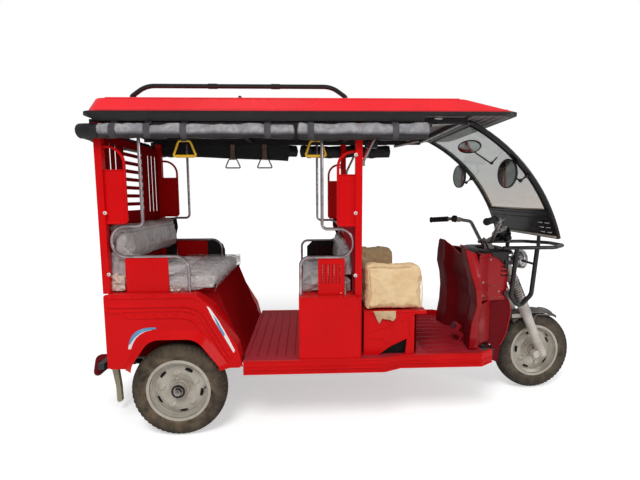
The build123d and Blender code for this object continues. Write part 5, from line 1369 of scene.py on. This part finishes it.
panel_folds = [tube(fold_line, 3.5, sides=8),
               tube([on_screen(spot.y / MM, 1084, 15) for spot in fold_line], 3, sides=8)]
add_piece("screen_panel_folds", merged(panel_folds), TRIM_BLACK)

LAMP = centre_of("headlamp")
lamp_front = Vector((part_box("headlamp")[1].x, 0, LAMP.z))
add_piece("headlamp_lens", turned([(-2, 49), (3, 47), (9, 36), (13, 20), (14.5, 4)], lamp_front, (1, 0, 0),
                                  48), LAMP_GLASS)
add_piece("headlamp_rim", turned([(-14, 57), (-6, 58.5), (1, 55), (3, 49.5), (-2, 47), (-12, 52)],
                                 lamp_front, (1, 0, 0), 48, sides_closed=True), LAMP_CHROME)
lens_ribs = []
for y in (-30, -20, -10, 0, 10, 20, 30):
    top = 34 - abs(y) * 0.3
    lens_ribs.append(swept([lamp_front + Vector((9.5 - abs(y) * 0.2, y, z)) * MM for z in (-top, top)],
                           ring(0.9, 6)))
add_piece("headlamp_lens_ribs", merged(lens_ribs), LAMP_GLASS)
add_piece("headlamp_boot", turned([(-14, 9), (-10, 16), (-2, 19), (6, 22)], LAMP - Vector((48 * MM, 0, 0)),
                                  (1, 0, 0), 24), GRIP_RUBBER)

# ---- steering head, fork and bars ----------------------------------------------------------


def steered(name, shape, material, sharp=35):
    """Piece that turns with the steering, from a shape built straight ahead."""
    return add_piece(name, moved(shape, REST_TURN), material, body="steering", sharp=sharp)


def on_leg(height, side):
    """Point on the middle of a fork leg."""
    return on_fork(height, 45, side * 78)


def around_leg(height, side, angle, radius):
    """Point on a circle about a fork leg."""
    return on_leg(height, side) + (AHEAD * cos(angle) + LEFT * sin(angle)) * (radius * MM)


COIL_TURNS, COIL_STEPS = 10, 180
coils = [tube([around_leg(326 + 160 * step / COIL_STEPS, side, tau * COIL_TURNS * step / COIL_STEPS, 30)
               for step in range(COIL_STEPS + 1)], 4, sides=8) for side in (-1, 1)]
steered("fork_coil_springs", merged(coils), SPRING_STEEL)
sleeve = [(-36, 15), (-34, 24), (-22, 28), (26, 28), (40, 26.5), (170, 27), (236, 28), (252, 31), (300, 32),
          (316, 31), (322, 27)]
sleeves = [turned(sleeve, on_leg(0, side), HEAD_AXIS, 36) for side in (-1, 1)]
steered("fork_sleeves", merged(sleeves), FORK_SILVER)
COLLARS = [(318, 328, 31), (482, 492, 31), (514, 600, 20), (622, 634, 18)]  # low end, high end, radius
collars = [turned([(low, radius), (low + 2, radius + 2), (high - 2, radius + 2), (high, radius)],
                  on_leg(0, side), HEAD_AXIS, 32) for side in (-1, 1) for low, high, radius in COLLARS]
steered("fork_collars", merged(collars), FORK_SILVER)
lugs = []
for side in (-1, 1):
    foot = on_leg(0, side) - AHEAD * (45 * MM) + Vector((0, side * 12 * MM, 0))
    lugs.append(turned([(-16, 19), (-14, 22), (14, 22), (16, 19)], foot, (0, 1, 0), 28))
    nut = FRONT_AXLE + Vector((0, side * 101 * MM, 0))
    lugs.append(turned([(0, 15), (9, 15), (11, 12)], nut, (0, side, 0), 6))
    lugs.append(turned([(9, 8), (19, 8), (21, 5)], nut, (0, side, 0), 18))
    bracket = [on_fork(238, 30, side * 56), on_fork(250, 2, side * 54), on_fork(262, -30, side * 50)]
    lugs.append(swept(bracket, [(-3, -11), (3, -11), (3, 11), (-3, 11)], up=HEAD_AXIS))
steered("fork_lugs_and_nuts", merged(lugs), FORK_SILVER)

stays = [tube([on_fork(150, 62, side * 62), on_fork(210, 110, side * 58), at(2174, side * 53, 459)], 4, 30,
              sides=8) for side in (-1, 1)]
steered("mudguard_stays", merged(stays), GUARD_GREY)


def guard_spot(grow):
    """Crowned mudguard skin with turned-down sides, grow millimetres outside the pressed sheet."""
    def spot(u, v):
        angle = radians(57 + 72 * v)
        across = 2 * u - 1
        drop = 16 * max(0.0, (abs(across) - 0.72) / 0.28) ** 1.6
        radius = 256 + grow - drop + 4 * (1 - across * across)
        return FRONT_AXLE + Vector((radius * cos(angle), 54 * across, radius * sin(angle))) * MM
    return spot


steered("mudguard_skin", grid(guard_spot(1.5), 18, 40), GUARD_GREY)
fin_line = [guard_spot(5)(0.5, step / 8 * 0.34) for step in range(9)]
steered("mudguard_fin", swept(fin_line, [(-2, -3), (2, -3), (1.2, 8), (-1.2, 8)],
                              swell=lambda part: 0.4 + 0.6 * sin(pi * part)), GUARD_GREY)

housings, perches, grip_grooves = [], [], []
for side in (-1, 1):
    start, shoulder, end = at(1651, side * 244, 1062), at(1736, side * 164, 1046), at(1545, side * 350, 1054)
    along = (shoulder - start).normalized()
    grip_way = (end - start).normalized()
    housings.append(turned([(-4, 16), (0, 21), (22, 22), (27, 20), (30, 14)], start, along, 28))
    housings.append(swept([start + along * (ahead * MM) + Vector((0, 0, 14 * MM)) for ahead in (4, 26)],
                          ring(13, 12, 0.8)))
    housings.append(turned([(-2, 18), (0, 21), (3, 21), (5, 18)], start - grip_way * (4 * MM), grip_way, 28))
    perches.append(turned([(34, 13), (36, 17), (50, 17), (52, 13)], start, along, 24))
    clamp = start + along * (46 * MM) + Vector((22, side * 4, 4)) * MM
    perches.append(swept([start + along * (43 * MM), clamp], ring(9, 12),
                         swell=lambda part: 1.2 - 0.3 * part))
    for step in range(9):
        grip_grooves.append(turned([(0, 16.8), (1.5, 18.2), (4.5, 18.2), (6, 16.8)],
                                   start + grip_way * ((30 + step * 11.5) * MM), grip_way, 28))
    grip_grooves.append(turned([(0, 17), (3, 20), (9, 20), (12, 14)], end - grip_way * (8 * MM), grip_way,
                               28))
steered("switch_housings", merged(housings), TRIM_BLACK)
steered("lever_perches", merged(perches), FORK_SILVER)
steered("grip_ribs", merged(grip_grooves), GRIP_RUBBER)

POD = on_fork(744, 126, 0)
POD_UP = Vector((-0.5, 0, 0.866))
pod_rim = [(16, 49), (23, 50), (26, 47), (24, 43.5), (20, 43)]
steered("instrument_bezel", turned(pod_rim, POD, POD_UP, 48, sides_closed=True), LAMP_CHROME)
steered("instrument_dial", turned([(20, 43), (22.6, 42.5), (22.8, 2)], POD, POD_UP, 48), DIAL_WHITE)
marks = []
dial_up = POD_UP.cross(LEFT).normalized()
for step in range(11):
    angle = radians(-130 + 26 * step)
    ray = dial_up * cos(angle) + LEFT * sin(angle)
    marks.append(swept([POD + POD_UP * (23.3 * MM) + ray * (reach * MM) for reach in (31, 39)],
                       ring(0.9, 6)))
needle = dial_up * 0.7 - LEFT * 0.7
marks.append(swept([POD + POD_UP * (23.8 * MM) + needle * (reach * MM) for reach in (-8, 30)], ring(1.1, 6)))
marks.append(turned([(23, 6), (25, 5), (25.6, 2)], POD, POD_UP, 20))
steered("instrument_marks", merged(marks), SLOT_BLACK)
lobes = []
for side in (-1, 1):
    lobe = POD + Vector((2, side * 50, -18)) * MM
    lobes.append(turned([(-24, 14), (-18, 24), (8, 27), (13, 23), (15, 10)], lobe, POD_UP, 30))
steered("instrument_lobes", merged(lobes), TRIM_BLACK)
clamp_bolts = [turned([(0, 6), (5, 6), (6, 4)], on_fork(757, ahead, side * 27), HEAD_AXIS, 6)
               for side in (-1, 1) for ahead in (2, 22)]
clamp_bolts.append(turned([(0, 19), (7, 19), (10, 14)], on_fork(634, 0, 0), HEAD_AXIS, 6))
steered("clamp_bolts", merged(clamp_bolts), SPRING_STEEL)

# ---- wrapping left on the seats ------------------------------------------------------------


def loose_sheet(name, place, across, along, material, thickness=0.5):
    """Thin sheet laid out by place(u, v), given a thickness."""
    points, faces = grid(place, across, along)
    piece = add_piece(name, (points, faces), material, sharp=180)
    thickened(piece, thickness)
    return piece


def crinkle(x, y, size, height, start):
    """Sharp folds of a crumpled sheet at (x, y)."""
    wave = noise.noise(Vector((x / size + start, y / size, start)))
    fine = noise.noise(Vector((x / size * 2.6, y / size * 2.6 + start, 3.0)))
    return height * (max(0.0, 1 - 2.6 * abs(wave)) + 0.5 * max(0.0, 1 - 2.6 * abs(fine)) - 0.4)


def film_over_seat(u, v):
    """Film over the front of the rear cushion: up from the box, over the edge and back across the top."""
    y = -388 + 776 * u
    end = 14 * max(0.0, abs(2 * u - 1) - 0.9) * 10
    path = [(179, 741), (190, 762), (186, 796), (160, 812), (110, 814), (40, 813), (-40, 812)]
    part = v * (len(path) - 1)
    first = min(int(part), len(path) - 2)
    (x1, z1), (x2, z2) = path[first], path[first + 1]
    x, z = x1 + (x2 - x1) * (part - first), z1 - 4 + (z2 - z1) * (part - first)
    lift = max(-1.5, crinkle(x, y * 0.6, 60, 6, 2.7))
    return at(x + lift * 0.4, y, z + lift - end)


def hung_film(side):
    """Film that hangs past a cushion's end, its hem sagging below the cushion's edge."""
    def spot(u, v):
        x = -190 + 378 * u
        drop = 68 + 14 * sin(pi * u * 1.3) + 9 * noise.noise(Vector((x / 60, side * 3.0, 0)))
        z = 808 - drop * v
        out = 389 + 3 * sin(pi * v) + crinkle(x, z, 44, 4, 5.1)
        return at(x - 8 * v * v * u, side * min(out, 393.5), z)
    return spot


loose_sheet("rear_seat_film", film_over_seat, 60, 26, FILM)
loose_sheet("rear_seat_film_right", hung_film(-1), 44, 10, FILM)
loose_sheet("rear_seat_film_left", hung_film(1), 44, 10, FILM)


def back_film(u, v):
    """Film hanging from the right end of the backrest down to the seat."""
    x = -338 + (150 + 40 * v) * u
    z = 925 - 168 * v + 8 * sin(5 * u)
    return at(x, -(362 + 10 * v + crinkle(x, z, 50, 9, 0.3)), z)


loose_sheet("back_film", back_film, 24, 22, SEAT_GREY)


def scrap(name, low, high, y, side, material, seed):
    """Crumpled scrap of wrapping standing between two corners, given as (x, z), beside the seat."""
    def spot(u, v):
        x = low[0] + (high[0] - low[0]) * u + 6 * noise.noise(Vector((v * 4, seed, 0)))
        z = low[1] + (high[1] - low[1]) * v * (0.82 + 0.25 * noise.noise(Vector((u * 3, seed, 2))))
        return at(x, side * (y + crinkle(x, z, 26, 9, seed)), z)
    return loose_sheet(name, spot, 22, 18, material)


scrap("paper_scrap_rear", (-334, 735.5), (-262, 838), 380, -1, SCRAP_PALE, 4.2)
scrap("paper_scrap_arm", (-36, 735.5), (12, 762), 392, -1, SCRAP_PALE, 8.8)
scrap("film_scrap_mid", (772, 704), (846, 790), 386, -1, FILM, 2.9)
scrap("paper_scrap_mid", (800, 704), (846, 735), 389, -1, SCRAP_PALE, 6.1)


def wrap_tail(u, v):
    """Ragged tail of the driver's seat wrap, hanging over the edge of its box."""
    x = 986 + 30 * v * (1 - u) + 118 * u
    z = 616 - (50 + 26 * noise.noise(Vector((u * 5, 1.5, 0)))) * v
    return at(x, -398 - crinkle(x, z, 24, 3, 3.3) * v - 2.5, z)


loose_sheet("wrap_tail", wrap_tail, 20, 10, TAN_WRAP_PAINTED_SHADE)
fold_lines = []
for points in (((958, 846), (972, 700), (962, 628)), ((1236, 800), (1242, 700), (1238, 632)),
               ((966, 846), (1100, 852), (1180, 850))):
    fold_lines.append(tube([at(x, -391.5, z) for x, z in points], 2.6, 60, sides=8))
add_piece("wrap_tape_folds", merged(fold_lines), KRAFT_WRAP)

# ---- lining of the left side, and painted shade over its mid arm ---------------------------

LINING_Y = 391.5
side_lining = []
for outline in ([(-333, 738), (-333, 1066), (-246, 1066), (-238, 1000), (-250, 950), (-252, 738)],
                [(-40, 738), (-40, 903), (20, 903), (66, 880), (80, 840), (80, 738)]):
    side_lining.append(plate(outline, lambda x, z, depth: at(x, LINING_Y + depth, z), 2.5))
add_piece("left_side_lining", merged(side_lining), LINING_BLACK)
# Black sheet with maroon ribs over the far mid arm panel: painted shade standing in for that shaded, slotted
# panel.
FAR_ARM_SHADE_Y = 385
add_piece("far_mid_arm_painted_shade_sheet", plate([(652, 706), (652, 858), (690, 895), (846, 895), (846, 706)],
                                   lambda x, z, depth: at(x, FAR_ARM_SHADE_Y + depth, z), 2.5), LINING_BLACK)
shade_ribs = [swept([at(x, FAR_ARM_SHADE_Y, z) for z in (760, 868)], ring(4, 8), up=Vector((1, 0, 0)))
               for x in range(724, 845, 30)]
add_piece("far_mid_arm_painted_shade_ribs", merged(shade_ribs), MAROON_PAINTED_SHADE)
back_side = [(834, 1052), (897, 1053), (898, 718), (878, 718), (876, 900), (852, 960), (834, 1000)]
side_plates = [plate(back_side, lambda x, z, depth: at(x, side * (398 + depth), z), 3) for side in (-1, 1)]
add_piece("mid_back_side_plates", merged(side_plates), MAROON_PAINTED_SHADE)

# ---- roof rack -----------------------------------------------------------------------------

RACK_FOOT = reach_of("roof_rack")[0][2]
RACK_REAR, RACK_FRONT = -206, 850
rack_tubes = []
for side in (-1, 1):
    route = [at(x, side * RACK_Y, z) for x, z in (
        (RACK_REAR, RACK_FOOT), (RACK_REAR, RACK_FOOT + 14), (-136, RACK_TOP), (780, RACK_TOP),
        (RACK_FRONT, RACK_FOOT + 14), (RACK_FRONT, RACK_FOOT))]
    rack_tubes.append(tube(route, 11, 55, sides=16))
    for x in (RACK_REAR, RACK_FRONT):
        rack_tubes.append(turned([(0, 24), (4, 24), (7, 13)], at(x, side * RACK_Y, RACK_FOOT), (0, 0, 1),
                                 24))
for x in (-200, 322, 844):
    rack_tubes.append(tube([at(x, -RACK_Y, RACK_FOOT + 11), at(x, RACK_Y, RACK_FOOT + 11)], 9, sides=12))
rack = add_piece("roof_rack_hoops", merged(rack_tubes), GUARD_BLACK)
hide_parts("roof_rack")

# ---- tail and underside --------------------------------------------------------------------

stand_sleeve = [(-444, 330), (-412, 330), (-412, 250), (-402, 150), (-400, 62), (-414, 55), (-426, 62),
                (-428, 150), (-444, 250)]
add_piece("stand_sleeve", plate(stand_sleeve, lambda x, z, depth: at(x, -208 + depth, z), 24), SLEEVE_PALE)
lamps_low, lamps_high = reach_of("tail_lamps")
bezels = []
for side in (-1, 1):
    for z in (lamps_low[2] + 4, lamps_high[2] - 4):
        bezels.append(tube([at(lamps_low[0] + 2, side * (lamps_high[1] - inset), z) for inset in (6, 70)], 4,
                           sides=8))
add_piece("tail_lamp_bezels", merged(bezels), LAMP_CHROME)

drums = []
for side in (-1, 1):
    hub = at(0, side * 352, 238)
    drums.append(turned([(-12, 84), (-6, 92), (16, 92), (22, 84)], hub, (0, side, 0), 48))
    drums.append(turned([(-60, 30), (-50, 38), (-14, 44), (-10, 60)], hub, (0, side, 0), 32))
    for along in (-34, 34):
        bolt = [at(along, side * 255 + y, z) for y, z in ((-30, 262), (-30, 206), (30, 206), (30, 262))]
        drums.append(tube(bolt, 5, 20, sides=8))
add_piece("brake_drums_and_bolts", merged(drums), AXLE_IRON)

# ---- floor, light and camera ---------------------------------------------------------------

floor_mesh = bpy.data.meshes.new("floor")
floor_mesh.from_pydata([(-60, -60, 0), (60, -60, 0), (60, 60, 0), (-60, 60, 0)], [], [(0, 1, 2, 3)])
floor = bpy.data.objects.new("floor", floor_mesh)
bpy.context.scene.collection.objects.link(floor)
paper, paper_tree, paper_shader, place = start_material("studio_paper", {
    "Base Color": linear("#F2F2F2"), "Roughness": 0.9})
seen = add_node(paper_tree, "ShaderNodeLightPath").outputs
away = add_node(paper_tree, "ShaderNodeVectorMath", {0: place}, operation="LENGTH").outputs["Value"]
paleness = spread(paper_tree, away, 1.6, 5.5, 0.46, 0.72)
fill(paper_tree, paper_shader, {
    "Emission Color": (1, 1, 1, 1),
    "Emission Strength": maths(paper_tree, "MULTIPLY", seen["Is Camera Ray"], paleness)})
floor.data.materials.append(paper)

world = bpy.data.worlds.new("studio")
bpy.context.scene.world = world
world.use_nodes = True
sky_tree = world.node_tree
sky_tree.nodes.clear()
seen = add_node(sky_tree, "ShaderNodeLightPath").outputs
direct = maths(sky_tree, "MAXIMUM", seen["Is Camera Ray"], seen["Is Transmission Ray"])
glossy = spread(sky_tree, seen["Is Glossy Ray"], 0.0, 1.0, 0.42, 0.36)
sky = add_node(sky_tree, "ShaderNodeBackground", {"Color": (1, 1, 1, 1),
                                                  "Strength": maths(sky_tree, "MAXIMUM", direct, glossy)})
add_node(sky_tree, "ShaderNodeOutputWorld", {"Surface": sky.outputs[0]})


def area_lamp(name, spot, aim, size, power):
    """Soft square lamp at spot, facing aim."""
    lamp = bpy.data.lights.new(name, "AREA")
    lamp.size = size
    lamp.energy = power
    lamp_object = bpy.data.objects.new(name, lamp)
    lamp_object.location = spot
    lamp_object.rotation_euler = (Vector(aim) - Vector(spot)).to_track_quat("-Z", "Y").to_euler()
    bpy.context.scene.collection.objects.link(lamp_object)
    return lamp_object


area_lamp("key_lamp", (-1.2, -4.2, 5.6), (0.0, 0.0, 0.9), 2.2, 230).visible_glossy = False
area_lamp("fill_lamp", (4.5, -3.5, 2.6), (0.6, 0.0, 0.8), 2.0, 55)

camera_data = bpy.data.cameras.new("camera")
camera_data.sensor_width = 36
camera_data.lens = 22.08
camera = bpy.data.objects.new("camera", camera_data)
bpy.context.scene.collection.objects.link(camera)
camera.location = (-0.2554, -2.352, 1.199)
yaw, pitch, roll = 0.037, 0.1085, -0.005
looking = Vector((sin(yaw) * cos(pitch), cos(yaw) * cos(pitch), -sin(pitch)))
aimed = looking.to_track_quat("-Z", "Y").to_matrix() @ Matrix.Rotation(roll, 3, "Z")
camera.rotation_euler = aimed.to_euler()
bpy.context.scene.camera = camera
bpy.context.scene.view_settings.view_transform = "Standard"
